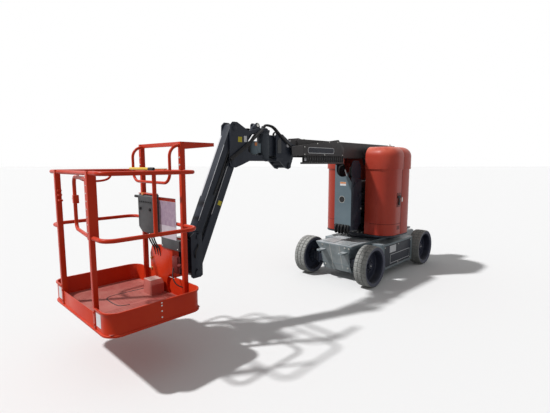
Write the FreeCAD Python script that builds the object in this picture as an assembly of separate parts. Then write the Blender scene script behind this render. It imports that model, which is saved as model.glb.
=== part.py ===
import FreeCAD, Part
import math
import os

# Narrow electric articulating boom lift, stowed, in millimetres.
# The origin is on the ground under the slewing axis, +X points to the platform, +Y left, +Z up.

V = FreeCAD.Vector

# Running clearances
pin_clearance = 0.05
face_clearance = 0.3
moving_clearance = 6.0

# Pins of the lift cylinders
cylinder_pin = 14.0

# Wheels
wheelbase = 1650.0
overall_width = 1190.0
tyre_diameter = 559.0
tyre_width = 178.0
rim_diameter = 451.0
rim_wall = 12.0
rim_disc = 12.0
bead_inset = 12.0
tyre_shoulder = 16.0
spindle_radius = 40.0
hub_radius = 95.0
axle_z = tyre_diameter / 2
wheel_y = (overall_width - tyre_width) / 2
front_x = wheelbase / 2
rear_x = -wheelbase / 2
rim_dish = 40.0
hub_face_y = wheel_y - rim_dish - 6.0
hub_length = 52.0
spindle_reach = 20.0
kingpin_y = wheel_y - 141.0
kingpin_radius = 18.0
kingpin_lug = 36.0
axle_half_width = 55.0

# Chassis
chassis_bottom = 125.0
chassis_top = 500.0
deck_top = 530.0
body_half_width = overall_width / 2 - 95.0
body_front = front_x - 370.0
body_rear = rear_x + 305.0
neck_half_width = kingpin_y - 130.0
neck_front = front_x + 125.0
nose_plate = 14.0
tail_half_width = wheel_y - tyre_width / 2 - 22.0
tail_rear = rear_x - 155.0
deck_half_width = 300.0
tie_down_x = neck_front + 80.0
tie_down_y = 180.0
tie_down_z = 425.0
tie_down_hole = 22.0
tie_down_eye = 42.0
tie_down_plate = 20.0

# Turntable
ring_radius = 315.0
ring_top = 570.0
turntable_bottom = 600.0
turntable_top = 620.0
bulkhead_y = 160.0
bulkhead_thickness = 12.0
turntable_rear = -680.0
riser_cylinder_base = (20.0, turntable_top + 60.0)
riser_cylinder_y = -115.0
turntable_half_width = 575.0
tail_plate_half_width = 390.0

# Hoods
hood_front = 455.0
hood_rear = -420.0
hood_inner_y = 180.0
hood_outer_y = 590.0
hood_front_corner = 230.0
hood_rear_corner = 340.0
hood_wall = 8.0
hood_inset = 18.0
hood_bottom = turntable_top + face_clearance
door_bottom = turntable_top + moving_clearance
hood_crease = 1570.0
hood_top = 1890.0
hood_crown = 140.0
hood_seam_x = 80.0
hood_gap = 4.0
hinge_post = 10.0
door_hinge_x = hood_front - hood_inset - hood_wall - hinge_post - moving_clearance
turntable_front = hood_front - 10.0
door_hinge_y = 196.0

# Riser linkage: pivots of the lower pair and of the upper pair
riser_length = 1140.0
arm_half_height = 50.0
arm_half_width = 75.0
riser_pin = 20.0
riser_rear = -480.0
tower_x = riser_rear + riser_length
riser_shift = 120.0
riser_rise = 180.0
lower_pivot_z = 800.0
B1 = (tower_x, lower_pivot_z)
B2 = (tower_x - riser_shift, lower_pivot_z + riser_rise)
C1 = (tower_x - riser_shift, lower_pivot_z + 2 * riser_rise)
C2 = (tower_x, lower_pivot_z + 3 * riser_rise)
A1 = (B1[0] - riser_length, B1[1])
A2 = (B2[0] - riser_length, B2[1])
D1 = (C1[0] - riser_length, C1[1])
D2 = (C2[0] - riser_length, C2[1])

# Tower at the front of the risers
tower_front = tower_x + 80.0
tower_half_width = 140.0
tower_plate = 12.0
tower_bottom = lower_pivot_z - 100.0
tower_top = lower_pivot_z + 830.0
tower_shoulder = tower_top - 170.0
tower_hole = 50.0
notch_radius = 98.0
notch_z = 1560.0
notch_y = -15.0

# Rear upright that carries the boom
upright_half_width = 110.0
upright_plate = 25.0
upright_rear = -690.0
upright_front = -400.0

# Boom
boom_pivot = (-580.0, 1800.0)
boom_pin = 24.0
boom_half_width = 75.0
boom_bottom = 1725.0
boom_top = 1940.0
boom_rear = -655.0
boom_front = 1830.0
boom_wall = 6.0
fly_half_width = 59.0
fly_half_height = 89.0
fly_rear = -440.0
fly_wall = 5.0
tip_pivot = (1940.0, 1815.0)

# Hose tray on the boom's left side
tray_rear = 965.0
tray_front = 1825.0
tray_side = 150.0
tray_top = 1956.0
tray_sill = 1745.0
tray_bottom = 1645.0
track_pitch = 48.0
track_inner_y = 111.0

# Tip knuckle and jib slewing actuator
knuckle_inner_y = 80.0
knuckle_plate = 15.0
actuator_x = 2330.0
actuator_radius = 72.0
actuator_bottom = 1700.0
actuator_top = 1990.0

# Jib
jib_length = 1127.0
jib_angle = -66.0
J1 = (2800.0, 2000.0)
J2 = (2820.0, 1660.0)
jib_half_height = 42.0
jib_half_width = 55.0
jib_pin = 18.0
jib_base_inner_y = 60.0
jib_base_plate = 15.0
K1 = (J1[0] + jib_length * math.cos(math.radians(jib_angle)),
      J1[1] + jib_length * math.sin(math.radians(jib_angle)))
K2 = (J2[0] + jib_length * math.cos(math.radians(jib_angle)),
      J2[1] + jib_length * math.sin(math.radians(jib_angle)))

# Platform
rotator_x = 3388.0
rotator_radius = 48.0
platform_rear = 3490.0
platform_depth = 788.0
platform_width = 1168.0
platform_y = -105.0
platform_bottom = 455.0
floor_thickness = 22.0
toe_board_height = 176.0
toe_board_wall = 4.0
toe_board_lip = 10.0
platform_corner = 110.0
rail_radius = 16.0
top_rail_z = 1584.0
mid_rail_z = 1130.0
rail_inset = 25.0
platform_front = platform_rear + platform_depth
rail_front_x = platform_front - rail_inset
rail_rear_x = platform_rear + rail_inset
post_spacing = 690.0
post_width = 34.0
near_post_y = platform_y + post_spacing / 2
far_post_y = platform_y - post_spacing / 2

# Gate between the two front posts, resting a little open
gate_length = 470.0
gate_tube = 14.0
gate_stile = 16.0
gate_top = top_rail_z - rail_radius - gate_tube - 8.0
bracket_cut = 110.0
bracket_cut_z = 560.0
gate_hinge_y = near_post_y - post_width / 2 - 24.0
gate_rest = 8.0
hinge_pin = 8.0

# Guard over the platform's controls
guard_top = 1830.0
guard_reach = 113.0
guard_tube = 12.5
guard_bar_length = 430.0
guard_bend = 95.0
guard_bar_z = 1605.0


def box(x0, x1, y0, y1, z0, z1):
    return Part.makeBox(x1 - x0, y1 - y0, z1 - z0, V(x0, y0, z0))


def plate_y(points, y0, y1):
    """Outline in X and Z, as thick as y0 to y1."""
    corners = [V(x, y0, z) for x, z in points]
    return Part.Face(Part.makePolygon(corners + corners[:1])).extrude(V(0, y1 - y0, 0))


def plate_x(points, x0, x1):
    """Outline in Y and Z, as thick as x0 to x1."""
    corners = [V(x0, y, z) for y, z in points]
    return Part.Face(Part.makePolygon(corners + corners[:1])).extrude(V(x1 - x0, 0, 0))


def pin_y(x, z, y0, y1, radius):
    return Part.makeCylinder(radius, y1 - y0, V(x, y0, z), V(0, 1, 0))


def post_z(x, y, z0, z1, radius):
    return Part.makeCylinder(radius, z1 - z0, V(x, y, z0), V(0, 0, 1))


def mirrored(shape):
    return shape.mirror(V(0, 0, 0), V(0, 1, 0))


def both_sides(shape):
    """The shape and its mirror image across the centre plane."""
    return [shape, mirrored(shape)]


def joined(shapes):
    return shapes[0].fuse(shapes[1:]).removeSplitter()


def link(p, q, half_height, y0, y1):
    """Flat bar with round ends about two pivots in X and Z."""
    length = math.hypot(q[0] - p[0], q[1] - p[1])
    bar = joined([box(0, length, y0, y1, -half_height, half_height),
                  pin_y(0, 0, y0, y1, half_height),
                  pin_y(length, 0, y0, y1, half_height)])
    bar.rotate(V(0, 0, 0), V(0, 1, 0), -math.degrees(math.atan2(q[1] - p[1], q[0] - p[0])))
    bar.translate(V(p[0], 0, p[1]))
    return bar


def spun_y(points, side, centre_x, centre_y):
    """Profile of distance outboard and radius, spun about a wheel's axle."""
    corners = [V(centre_x, side * (centre_y + t), axle_z + r) for t, r in points]
    face = Part.Face(Part.makePolygon(corners + corners[:1]))
    return face.revolve(V(centre_x, 0, axle_z), V(0, 1, 0), 360)


def along(p, q, start, end):
    """The points at two distances from p on the line to q, with the line's direction."""
    length = math.hypot(q[0] - p[0], q[1] - p[1])
    direction = ((q[0] - p[0]) / length, (q[1] - p[1]) / length)
    first = V(p[0] + direction[0] * start, 0, p[1] + direction[1] * start)
    return first, V(direction[0], 0, direction[1]), end - start


def cylinder_pair(base, eye, y, barrel_radius, rod_radius, barrel_share, eye_half_width, neck):
    """Barrel with its base eye on a neck, and rod with its end eye, of a hydraulic cylinder."""
    length = math.hypot(eye[0] - base[0], eye[1] - base[1])
    barrel_end = length * barrel_share
    eye_radius = rod_radius * 1.5
    first, direction, run = along(base, eye, neck, barrel_end)
    barrel = Part.makeCylinder(barrel_radius, run, first, direction)
    shank = along(base, eye, 0, neck + 2)
    gland = along(base, eye, barrel_end - 34, barrel_end)
    barrel = joined([barrel,
                     pin_y(base[0], base[1], -eye_half_width, eye_half_width, eye_radius),
                     Part.makeCylinder(eye_half_width - 1, shank[2], shank[0], shank[1]),
                     Part.makeCylinder(barrel_radius + 4, gland[2], gland[0], gland[1])])
    first, direction, run = along(base, eye, neck + 12, length)
    barrel = barrel.cut(Part.makeCylinder(rod_radius + face_clearance, run, first, direction))
    barrel = barrel.cut(pin_y(base[0], base[1], -60, 60, cylinder_pin + pin_clearance))
    first, direction, run = along(base, eye, neck + 30, length - 10)
    rod = joined([Part.makeCylinder(rod_radius, run, first, direction),
                  pin_y(eye[0], eye[1], -eye_half_width, eye_half_width, eye_radius)])
    for shape in (barrel, rod):
        shape.translate(V(0, y, 0))
    return barrel, rod


nodes = {}


# Wheels
def tyre(side, x):
    half = tyre_width / 2
    outer = tyre_diameter / 2
    seat = rim_diameter / 2
    return spun_y([(-half + bead_inset, seat), (-half, outer - tyre_shoulder), (-half + tyre_shoulder, outer),
                   (half - tyre_shoulder, outer), (half, outer - tyre_shoulder), (half - bead_inset, seat)],
                  side, x, wheel_y)


def rim(side, x):
    half = tyre_width / 2 - bead_inset
    seat = rim_diameter / 2 - face_clearance
    inside = seat - rim_wall
    barrel = spun_y([(-half, seat), (-half, inside), (half, inside), (half, seat)], side, x, wheel_y)
    disc = spun_y([(0, spindle_radius + face_clearance), (0, inside + 2), (rim_disc, inside + 2),
                   (rim_disc + 14, hub_radius + 10), (rim_disc + 14, 0), (rim_disc + 4, 0),
                   (rim_disc + 4, spindle_radius + face_clearance)], side, x, wheel_y - rim_dish)
    return joined([barrel, disc])


for label, side, x in (("front_left", 1, front_x), ("front_right", -1, front_x),
                       ("rear_left", 1, rear_x), ("rear_right", -1, rear_x)):
    nodes["tyre_" + label] = tyre(side, x)
    nodes["rim_" + label] = rim(side, x)


# Chassis
def chassis_frame():
    body = box(body_rear, body_front, -body_half_width, body_half_width, chassis_bottom, chassis_top)
    neck = plate_x([(-neck_half_width, chassis_bottom), (neck_half_width, chassis_bottom),
                    (neck_half_width, 400), (deck_half_width, deck_top),
                    (-deck_half_width, deck_top), (-neck_half_width, 400)], body_front - 60, neck_front)
    tail = plate_x([(-tail_half_width, 170), (-330, chassis_bottom), (330, chassis_bottom),
                    (tail_half_width, 170), (tail_half_width, 430), (deck_half_width, deck_top),
                    (-deck_half_width, deck_top), (-tail_half_width, 430)], tail_rear, body_rear + 60)
    deck = box(tail_rear, neck_front, -deck_half_width, deck_half_width, chassis_top - 10, deck_top)
    ends = [plate_x([(-neck_half_width, 150), (neck_half_width, 150), (neck_half_width, 400),
                     (deck_half_width, deck_top), (-deck_half_width, deck_top), (-neck_half_width, 400)],
                    neck_front - 1, neck_front + nose_plate)]
    eyes = []
    for x in (tie_down_x, -tie_down_x):
        root = neck_front - 1 if x > 0 else tail_rear + 1
        for side in (1, -1):
            y = side * tie_down_y
            eyes.append(box(min(x, root), max(x, root), y - tie_down_eye, y + tie_down_eye,
                            tie_down_z - tie_down_plate / 2, tie_down_z + tie_down_plate / 2))
            eyes.append(post_z(x, y, tie_down_z - tie_down_plate / 2, tie_down_z + tie_down_plate / 2,
                               tie_down_eye))
    frame = joined([body, neck, tail, deck] + ends + eyes)
    for x in (tie_down_x, -tie_down_x):
        for side in (1, -1):
            frame = frame.cut(post_z(x, side * tie_down_y, 200, 500, tie_down_hole))
    slot = axle_half_width + face_clearance
    for x in (front_x, rear_x):
        frame = frame.cut(box(x - slot, x + slot, -wheel_y, wheel_y, 225 - face_clearance, 335 + face_clearance))
    pocket = 14.0
    for side in (1, -1):
        y_in, y_out = sorted((side * (body_half_width - pocket), side * (body_half_width + 1)))
        frame = frame.cut(box(body_rear + 50, body_front - 50, y_in, y_out, chassis_bottom + 30, chassis_top - 30))
    return frame


def front_axle():
    cheek_y = kingpin_y - kingpin_lug - 39
    beam = box(front_x - axle_half_width, front_x + axle_half_width, -cheek_y - 5, cheek_y + 5, 225, 335)
    parts = [beam]
    for side in (1, -1):
        y_in, y_out = sorted((side * cheek_y, side * (cheek_y + 22)))
        parts.append(box(front_x - axle_half_width, front_x + axle_half_width, y_in, y_out, 190, 370))
        for z0, z1 in ((190, 214), (346, 370)):
            lug_in, lug_out = sorted((side * (cheek_y + 5), side * kingpin_y))
            parts.append(box(front_x - kingpin_lug, front_x + kingpin_lug, lug_in, lug_out, z0, z1))
            parts.append(post_z(front_x, side * kingpin_y, z0, z1, kingpin_lug))
        parts.append(post_z(front_x, side * kingpin_y, 184, 376, kingpin_radius))
    return joined(parts)


def rear_axle():
    start = tail_half_width + 3
    parts = [box(rear_x - axle_half_width, rear_x + axle_half_width, -start - 2, start + 2, 225, 335)]
    for side in (1, -1):
        origin = V(rear_x, side * start, axle_z)
        parts.append(Part.makeCylinder(hub_radius, hub_face_y - start, origin, V(0, side, 0)))
        parts.append(Part.makeCylinder(spindle_radius, hub_face_y - start + spindle_reach, origin, V(0, side, 0)))
    return joined(parts)


def steering_knuckle(side):
    start = side * (hub_face_y - hub_length)
    block_in, block_out = sorted((side * kingpin_y, start + side))
    origin = V(front_x, start, axle_z)
    body = joined([post_z(front_x, side * kingpin_y, 216, 344, kingpin_lug),
                   box(front_x - kingpin_lug, front_x + kingpin_lug, block_in, block_out, 225, 335),
                   Part.makeCylinder(hub_radius, hub_length, origin, V(0, side, 0)),
                   Part.makeCylinder(spindle_radius, hub_length + spindle_reach, origin, V(0, side, 0))])
    return body.cut(post_z(front_x, side * kingpin_y, 150, 400, kingpin_radius + pin_clearance))


def slew_ring():
    return post_z(0, 0, deck_top, ring_top, ring_radius + 10).cut(
        post_z(0, 0, deck_top - 1, ring_top + 1, ring_radius - 80))


nodes["chassis_frame"] = chassis_frame()
nodes["front_axle"] = front_axle()
nodes["rear_axle"] = rear_axle()
nodes["slew_ring"] = slew_ring()
nodes["steering_knuckle_left"] = steering_knuckle(1)
nodes["steering_knuckle_right"] = steering_knuckle(-1)


# Turntable
def rounded_plan(x0, x1, y0, y1, rear_radius, front_radius, z):
    """Face in plan with its two outboard corners rounded."""
    edges = [Part.makeLine(V(x0, y0, z), V(x1, y0, z)),
             Part.makeLine(V(x1, y0, z), V(x1, y1 - front_radius, z)),
             Part.makeCircle(front_radius, V(x1 - front_radius, y1 - front_radius, z), V(0, 0, 1), 0, 90),
             Part.makeLine(V(x1 - front_radius, y1, z), V(x0 + rear_radius, y1, z)),
             Part.makeCircle(rear_radius, V(x0 + rear_radius, y1 - rear_radius, z), V(0, 0, 1), 90, 180),
             Part.makeLine(V(x0, y1 - rear_radius, z), V(x0, y0, z))]
    return Part.Face(Part.Wire(edges))


def turntable_base():
    half = rounded_plan(hood_rear + 10, turntable_front, 0, turntable_half_width, hood_rear_corner - 15,
                        hood_front_corner - 15, turntable_bottom).extrude(V(0, 0, turntable_top - turntable_bottom))
    parts = both_sides(half)
    parts.append(box(turntable_rear, hood_rear + 40, -tail_plate_half_width, tail_plate_half_width,
                     turntable_bottom, turntable_top))
    parts.append(post_z(0, 0, ring_top + face_clearance, turntable_bottom + 1, ring_radius - 10))
    outline = [(turntable_rear, turntable_top - 1), (345, turntable_top - 1), (345, 860), (200, 1250),
               (-300, 1480), (-560, 1480), (turntable_rear, 1250)]
    parts += both_sides(plate_y(outline, bulkhead_y, bulkhead_y + bulkhead_thickness))
    parts.append(box(turntable_rear, turntable_rear + 12, -bulkhead_y - 1, bulkhead_y + 1,
                     turntable_top - 1, 1050))
    for x, z in (A1, A2):
        parts.append(pin_y(x, z, -bulkhead_y - 20, bulkhead_y + 20, riser_pin))
        parts += both_sides(pin_y(x, z, arm_half_width + 3, bulkhead_y + 1, 45))
    ear_x, ear_z = riser_cylinder_base
    for y in (riser_cylinder_y - 27, riser_cylinder_y + 17):
        parts.append(box(ear_x - 28, ear_x + 28, y, y + 10, turntable_top - 1, ear_z))
        parts.append(pin_y(ear_x, ear_z, y, y + 10, 28))
    parts.append(pin_y(ear_x, ear_z, riser_cylinder_y - 29, riser_cylinder_y + 29, 14))
    for side in (1, -1):
        parts.append(post_z(door_hinge_x, side * door_hinge_y, turntable_top - 1, 1500, hinge_post))
    return joined(parts)


def hood_form(inset, floor, y_shift):
    """Hood solid, smaller by the inset all round."""
    def storey(extra, z0, z1):
        gap = inset + extra
        face = rounded_plan(hood_rear + gap, hood_front - gap, hood_inner_y - y_shift,
                            hood_outer_y - gap, hood_rear_corner - gap, hood_front_corner - gap, z0)
        return face.extrude(V(0, 0, z1 - z0))
    crown = storey(0, hood_crease + inset, hood_top - inset)
    rim_edges = []
    for edge in crown.Edges:
        low = edge.BoundBox.ZMin > hood_top - inset - 1
        inner_side = edge.BoundBox.YMax < hood_inner_y - y_shift + 1
        if low and not inner_side:
            rim_edges.append(edge)
    crown = crown.makeFillet(hood_crown - inset, rim_edges)
    drum = storey(hood_inset, floor, hood_crease + inset + 2)
    return joined([drum, crown])


def hood():
    shell = hood_form(0, hood_bottom, 0).cut(hood_form(hood_wall, hood_bottom - 20, 30))
    front = shell.common(box(hood_seam_x + hood_gap / 2, hood_front + 1, 0, hood_outer_y + 1, door_bottom,
                             hood_top + 1))
    rear = shell.common(box(hood_rear - 1, hood_seam_x - hood_gap / 2, 0, hood_outer_y + 1, hood_bottom,
                            hood_top + 1))
    rings = []
    for z in (760, 1380):
        ring = post_z(door_hinge_x, door_hinge_y, z, z + 60, hinge_post + moving_clearance + 2)
        ring = ring.cut(post_z(door_hinge_x, door_hinge_y, z - 1, z + 61, hinge_post + face_clearance))
        rings.append(ring)
    return joined([front] + rings), rear


hood_front_shell, hood_rear_shell = hood()
nodes["turntable_base"] = turntable_base()
nodes["hood_door_left"] = hood_front_shell
nodes["hood_door_right"] = mirrored(hood_front_shell)
nodes["rear_hoods"] = Part.makeCompound(both_sides(hood_rear_shell))
nodes["battery_pack"] = box(hood_rear + 170, hood_front - 155, hood_inner_y + 20, hood_outer_y - 130,
                            turntable_top, 1250)
nodes["hydraulic_unit"] = box(hood_rear + 170, hood_front - 155, -hood_outer_y + 130, -hood_inner_y - 20,
                              turntable_top, 1150)
nodes["counterweights"] = Part.makeCompound(both_sides(box(turntable_rear + 40, hood_rear - 20, bulkhead_y + 20, 360,
                                                           turntable_top, 1150)))


# Risers
def riser_arm(p, q, pin_radius):
    arm = link(p, q, arm_half_height, -arm_half_width, arm_half_width)
    for x, z in (p, q):
        arm = arm.cut(pin_y(x, z, -200, 200, pin_radius + pin_clearance))
    return arm


riser_eye = (A2[0] + 300.0, A2[1] + 40.0)


def mid_upright():
    back = tower_front - tower_plate
    front = plate_x([(-tower_half_width, tower_bottom), (tower_half_width, tower_bottom),
                     (tower_half_width, 1390), (80, 1475), (80, tower_top), (-tower_half_width, tower_top)],
                    back, tower_front)
    notch = joined([box(back - 20, tower_front + 20, notch_y - notch_radius, notch_y + notch_radius,
                        notch_z, tower_top + 9),
                    Part.makeCylinder(notch_radius, 50, V(back - 20, notch_y, notch_z), V(1, 0, 0))])
    front = front.cut(notch)
    front = front.cut(Part.makeCylinder(tower_hole, 50, V(back - 20, notch_y, 1140), V(1, 0, 0)))
    outline = [(tower_front, tower_bottom), (tower_front, tower_shoulder), (tower_front - 30, tower_shoulder),
               (tower_x - 180, 1420), (tower_x - 200, 1100), (tower_x - 180, 780), (tower_x - 100, tower_bottom)]
    parts = [front] + both_sides(plate_y(outline, tower_half_width - tower_plate, tower_half_width))
    for x, z in (B1, B2, C1, C2):
        parts.append(pin_y(x, z, -tower_half_width - 8, tower_half_width + 8, riser_pin))
        parts += both_sides(pin_y(x, z, arm_half_width + 3, tower_half_width - 1, 42))
    return joined(parts)


boom_cylinder_base = (-420.0, 1460.0)
boom_cylinder_eye = (100.0, 1660.0)


def top_upright():
    outline = [(upright_rear, 1095), (-420, 1095), (upright_front, 1300), (upright_front, 1500),
               (-500, 1830), (-540, 1865), (-620, 1865), (upright_rear, 1800)]
    parts = both_sides(plate_y(outline, upright_half_width - upright_plate, upright_half_width))
    parts.append(box(upright_rear, upright_rear + 12, -upright_half_width + 1, upright_half_width - 1, 1240, 1640))
    parts.append(box(upright_rear + 11, upright_front - 60, -upright_half_width + 1, upright_half_width - 1, 1412, 1424))
    for x, z in (D1, D2):
        parts.append(pin_y(x, z, -upright_half_width - 8, upright_half_width + 8, riser_pin))
        parts += both_sides(pin_y(x, z, arm_half_width + 3, upright_half_width - 10, 42))
    x, z = boom_pivot
    parts.append(pin_y(x, z, -upright_half_width - 10, upright_half_width + 10, boom_pin))
    x, z = boom_cylinder_base
    parts.append(pin_y(x, z, -upright_half_width - 8, upright_half_width + 8, 14))
    parts += both_sides(pin_y(x, z, 32, upright_half_width - 10, 24))
    return joined(parts)


nodes["lower_riser_arm"] = joined([riser_arm(A2, B2, riser_pin),
                                   pin_y(riser_eye[0], riser_eye[1], -97, -70, 35)])
nodes["lower_riser_link"] = riser_arm(A1, B1, riser_pin)
nodes["mid_upright"] = mid_upright()
nodes["upper_riser_arm"] = riser_arm(D2, C2, riser_pin)
nodes["upper_riser_link"] = riser_arm(D1, C1, riser_pin)
nodes["top_upright"] = top_upright()
barrel, rod = cylinder_pair(riser_cylinder_base, riser_eye, riser_cylinder_y, 32, 18, 0.8, 15, 38)
nodes["riser_cylinder_barrel"] = barrel
nodes["riser_cylinder_rod"] = rod


# Boom
def main_boom():
    body = plate_y([(boom_rear + 40, boom_bottom), (boom_front, boom_bottom), (boom_front, boom_top),
                    (boom_rear + 90, boom_top), (boom_rear, boom_top - 60), (boom_rear, boom_bottom + 50)],
                   -boom_half_width, boom_half_width)
    centre_z = (boom_bottom + boom_top) / 2
    bore_x = fly_rear - 40
    bore = box(bore_x, boom_front - 100, -boom_half_width + boom_wall, boom_half_width - boom_wall,
               boom_bottom + boom_wall, boom_top - boom_wall)
    collar = box(boom_front - 101, boom_front + 1, -fly_half_width - face_clearance,
                 fly_half_width + face_clearance, centre_z - fly_half_height - face_clearance,
                 centre_z + fly_half_height + face_clearance)
    x, z = boom_cylinder_eye
    ears = both_sides(plate_y([(x - 70, boom_bottom + 1), (x - 34, z - 20), (x, z - 36), (x + 34, z - 20),
                               (x + 70, boom_bottom + 1)], 25, 40))
    body = joined([body] + ears).cut(bore).cut(collar)
    return body.cut(pin_y(boom_pivot[0], boom_pivot[1], -200, 200, boom_pin + pin_clearance))


def fly_boom():
    centre_z = (boom_bottom + boom_top) / 2
    tube = box(fly_rear, 1900, -fly_half_width, fly_half_width, centre_z - fly_half_height,
               centre_z + fly_half_height)
    pads = box(fly_rear, fly_rear + 100, -boom_half_width + boom_wall + face_clearance,
               boom_half_width - boom_wall - face_clearance,
               boom_bottom + boom_wall + face_clearance, boom_top - boom_wall - face_clearance)
    hollow = box(fly_rear - 1, 1860, -fly_half_width + fly_wall, fly_half_width - fly_wall,
                 centre_z - fly_half_height + fly_wall, centre_z + fly_half_height - fly_wall)
    x, z = tip_pivot
    nose = plate_y([(1890, centre_z - fly_half_height), (x + 10, centre_z - fly_half_height),
                    (x + 42, z - 42), (x + 42, z + 30), (x, centre_z + fly_half_height),
                    (1890, centre_z + fly_half_height)], -fly_half_width, fly_half_width)
    bosses = both_sides(pin_y(x, z, fly_half_width - 1, knuckle_inner_y - 3, 42))
    body = joined([tube, pads, nose] + bosses).cut(hollow)
    return body.cut(pin_y(x, z, -200, 200, boom_pin + pin_clearance))


def side_tray():
    inner = boom_half_width + face_clearance
    cover = plate_y([(tray_front, tray_sill), (tray_front, 1868), (tray_rear + 150, tray_top), (tray_rear + 125, tray_top),
                     (tray_rear + 20, 1860), (tray_rear, 1850), (tray_rear, tray_sill)], tray_side - 4, tray_side)
    rail = box(tray_rear, tray_front, track_inner_y - 2, tray_side, tray_bottom, tray_bottom + 22)
    shelf = box(tray_rear, tray_front - 150, inner, track_inner_y, tray_bottom, tray_bottom + 22)
    back = box(tray_rear, tray_rear + 12, inner, tray_side, tray_bottom + 21, 1790)
    brackets = [box(x, x + 30, inner, tray_side - 3, 1765, 1790)
                for x in (tray_rear + 60, 1400, tray_front - 90)]
    hangers = [box(x, x + 30, inner, 86, tray_bottom + 21, 1790)
               for x in (tray_rear + 60, 1400, tray_front - 185)]
    return joined([cover, rail, shelf, back] + brackets + hangers)


def power_track():
    links = []
    for row in range(17):
        x = tray_rear + 22 + row * track_pitch
        links.append(box(x, x + track_pitch - 8, track_inner_y, track_inner_y + 32,
                         tray_bottom + 22 + face_clearance, tray_sill))
        links.append(box(x - 5, x + track_pitch - 3, track_inner_y + 6, track_inner_y + 26,
                         tray_bottom + 28, tray_sill - 6))
    return joined(links)


nodes["main_boom"] = main_boom()
nodes["fly_boom"] = fly_boom()
nodes["side_tray"] = side_tray()
nodes["power_track"] = power_track()
barrel, rod = cylinder_pair(boom_cylinder_base, boom_cylinder_eye, 0.0, 30, 18, 0.84, 22, 34)
nodes["boom_cylinder_barrel"] = barrel
nodes["boom_cylinder_rod"] = rod


# Tip knuckle
def tip_knuckle():
    x, z = tip_pivot
    outline = [(x - 50, z - 10), (x - 32, z + 46), (x + 20, z + 62), (2120, 1975), (2215, 1975),
               (2225, 1960), (2225, 1720), (2180, 1690), (2060, 1596), (2015, 1586), (1985, 1610),
               (x - 20, z - 50)]
    parts = both_sides(plate_y(outline, knuckle_inner_y, knuckle_inner_y + knuckle_plate))
    parts.append(pin_y(x, z, -104, 104, boom_pin))
    parts.append(pin_y(2015, 1620, -103, 103, 20))
    parts.append(box(2140, 2215, -knuckle_inner_y - 1, knuckle_inner_y + 1, 1735, 1960))
    parts.append(box(2200, actuator_x, -50, 50, 1735, 1960))
    body = joined(parts)
    return body.cut(post_z(actuator_x, 0, 1600, 2100, actuator_radius + face_clearance))


def jib_actuator():
    return joined([post_z(actuator_x, 0, actuator_bottom, actuator_top, actuator_radius - 6),
                   post_z(actuator_x, 0, 1735, 1960, actuator_radius)])


jib_cylinder_base = (2455.0, 2052.0)
crank = 120.0
crank_angle = 143.0
jib_cylinder_eye = (J2[0] + crank * math.cos(math.radians(crank_angle)),
                    J2[1] + crank * math.sin(math.radians(crank_angle)))


def jib_base():
    inner = jib_base_inner_y
    outer = inner + jib_base_plate
    top = actuator_top + face_clearance
    bottom = actuator_bottom - face_clearance
    outline = [(2412, bottom - 22), (2412, top + 22), (2500, top + 22), (2610, 1985), (2720, 2040), (2765, 2062),
               (2820, 2062), (2852, 2030), (2872, 1680), (2856, 1622), (2790, 1610), (2700, 1640), (2600, bottom - 22)]
    parts = both_sides(plate_y(outline, inner, outer))
    parts.append(box(2412, 2432, -outer, outer, bottom - 22, top + 22))
    for z0, z1 in ((bottom - 22, bottom), (top, top + 22)):
        parts.append(post_z(actuator_x, 0, z0, z1, actuator_radius))
        parts.append(box(actuator_x, 2413, -60, 60, z0, z1))
    for x, z in (J1, J2):
        parts.append(pin_y(x, z, -outer - 8, outer + 8, jib_pin))
    x, z = jib_cylinder_base
    parts += both_sides(plate_y([(x - 43, top + 1), (x - 30, z + 10), (x - 12, z + 28), (x + 12, z + 28),
                                 (x + 30, z + 10), (x + 34, top + 1)], 29, 41))
    parts.append(pin_y(x, z, -46, 46, cylinder_pin))
    parts += both_sides(box(x - 43, x + 34, 39, inner + 1, top + 2, top + 22))
    return joined(parts)


nodes["tip_knuckle"] = tip_knuckle()
nodes["jib_actuator"] = jib_actuator()
nodes["jib_base"] = jib_base()


# Jib
def jib_upper_arm():
    arm = link(J1, K1, jib_half_height, -jib_half_width, jib_half_width)
    for x, z in (J1, K1):
        arm = arm.cut(pin_y(x, z, -200, 200, jib_pin + pin_clearance))
    return arm


def jib_lower_arm():
    arm = link(J2, K2, jib_half_height, -jib_half_width, jib_half_width)
    cheek = link(J2, jib_cylinder_eye, 30, 25, 45)
    arm = arm.cut(pin_y(J2[0], J2[1], -25, 25, 100))
    arm = joined([arm] + both_sides(cheek))
    for x, z in (J2, K2):
        arm = arm.cut(pin_y(x, z, -200, 200, jib_pin + pin_clearance))
    return arm


def platform_support():
    outline = [(3215, 600), (3215, 985), (3235, 1012), (3300, 1015), (3338, 985), (3338, 600),
               (3320, 585), (3240, 585)]
    parts = both_sides(plate_y(outline, jib_base_inner_y, jib_base_inner_y + jib_base_plate))
    for x, z in (K1, K2):
        parts.append(pin_y(x, z, -83, 83, jib_pin))
    parts.append(box(3328, 3338, -jib_base_inner_y - 1, jib_base_inner_y + 1, 650, 950))
    parts.append(box(3330, rotator_x, -25, 25, 650, 950))
    parts.append(post_z(rotator_x, 0, 640, 960, rotator_radius))
    return joined(parts)


nodes["jib_upper_arm"] = jib_upper_arm()
nodes["jib_lower_arm"] = jib_lower_arm()
nodes["platform_support"] = platform_support()
barrel, rod = cylinder_pair(jib_cylinder_base, jib_cylinder_eye, 0.0, 26, 14, 0.84, 20, 32)
nodes["jib_cylinder_barrel"] = barrel
nodes["jib_cylinder_rod"] = rod


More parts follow.
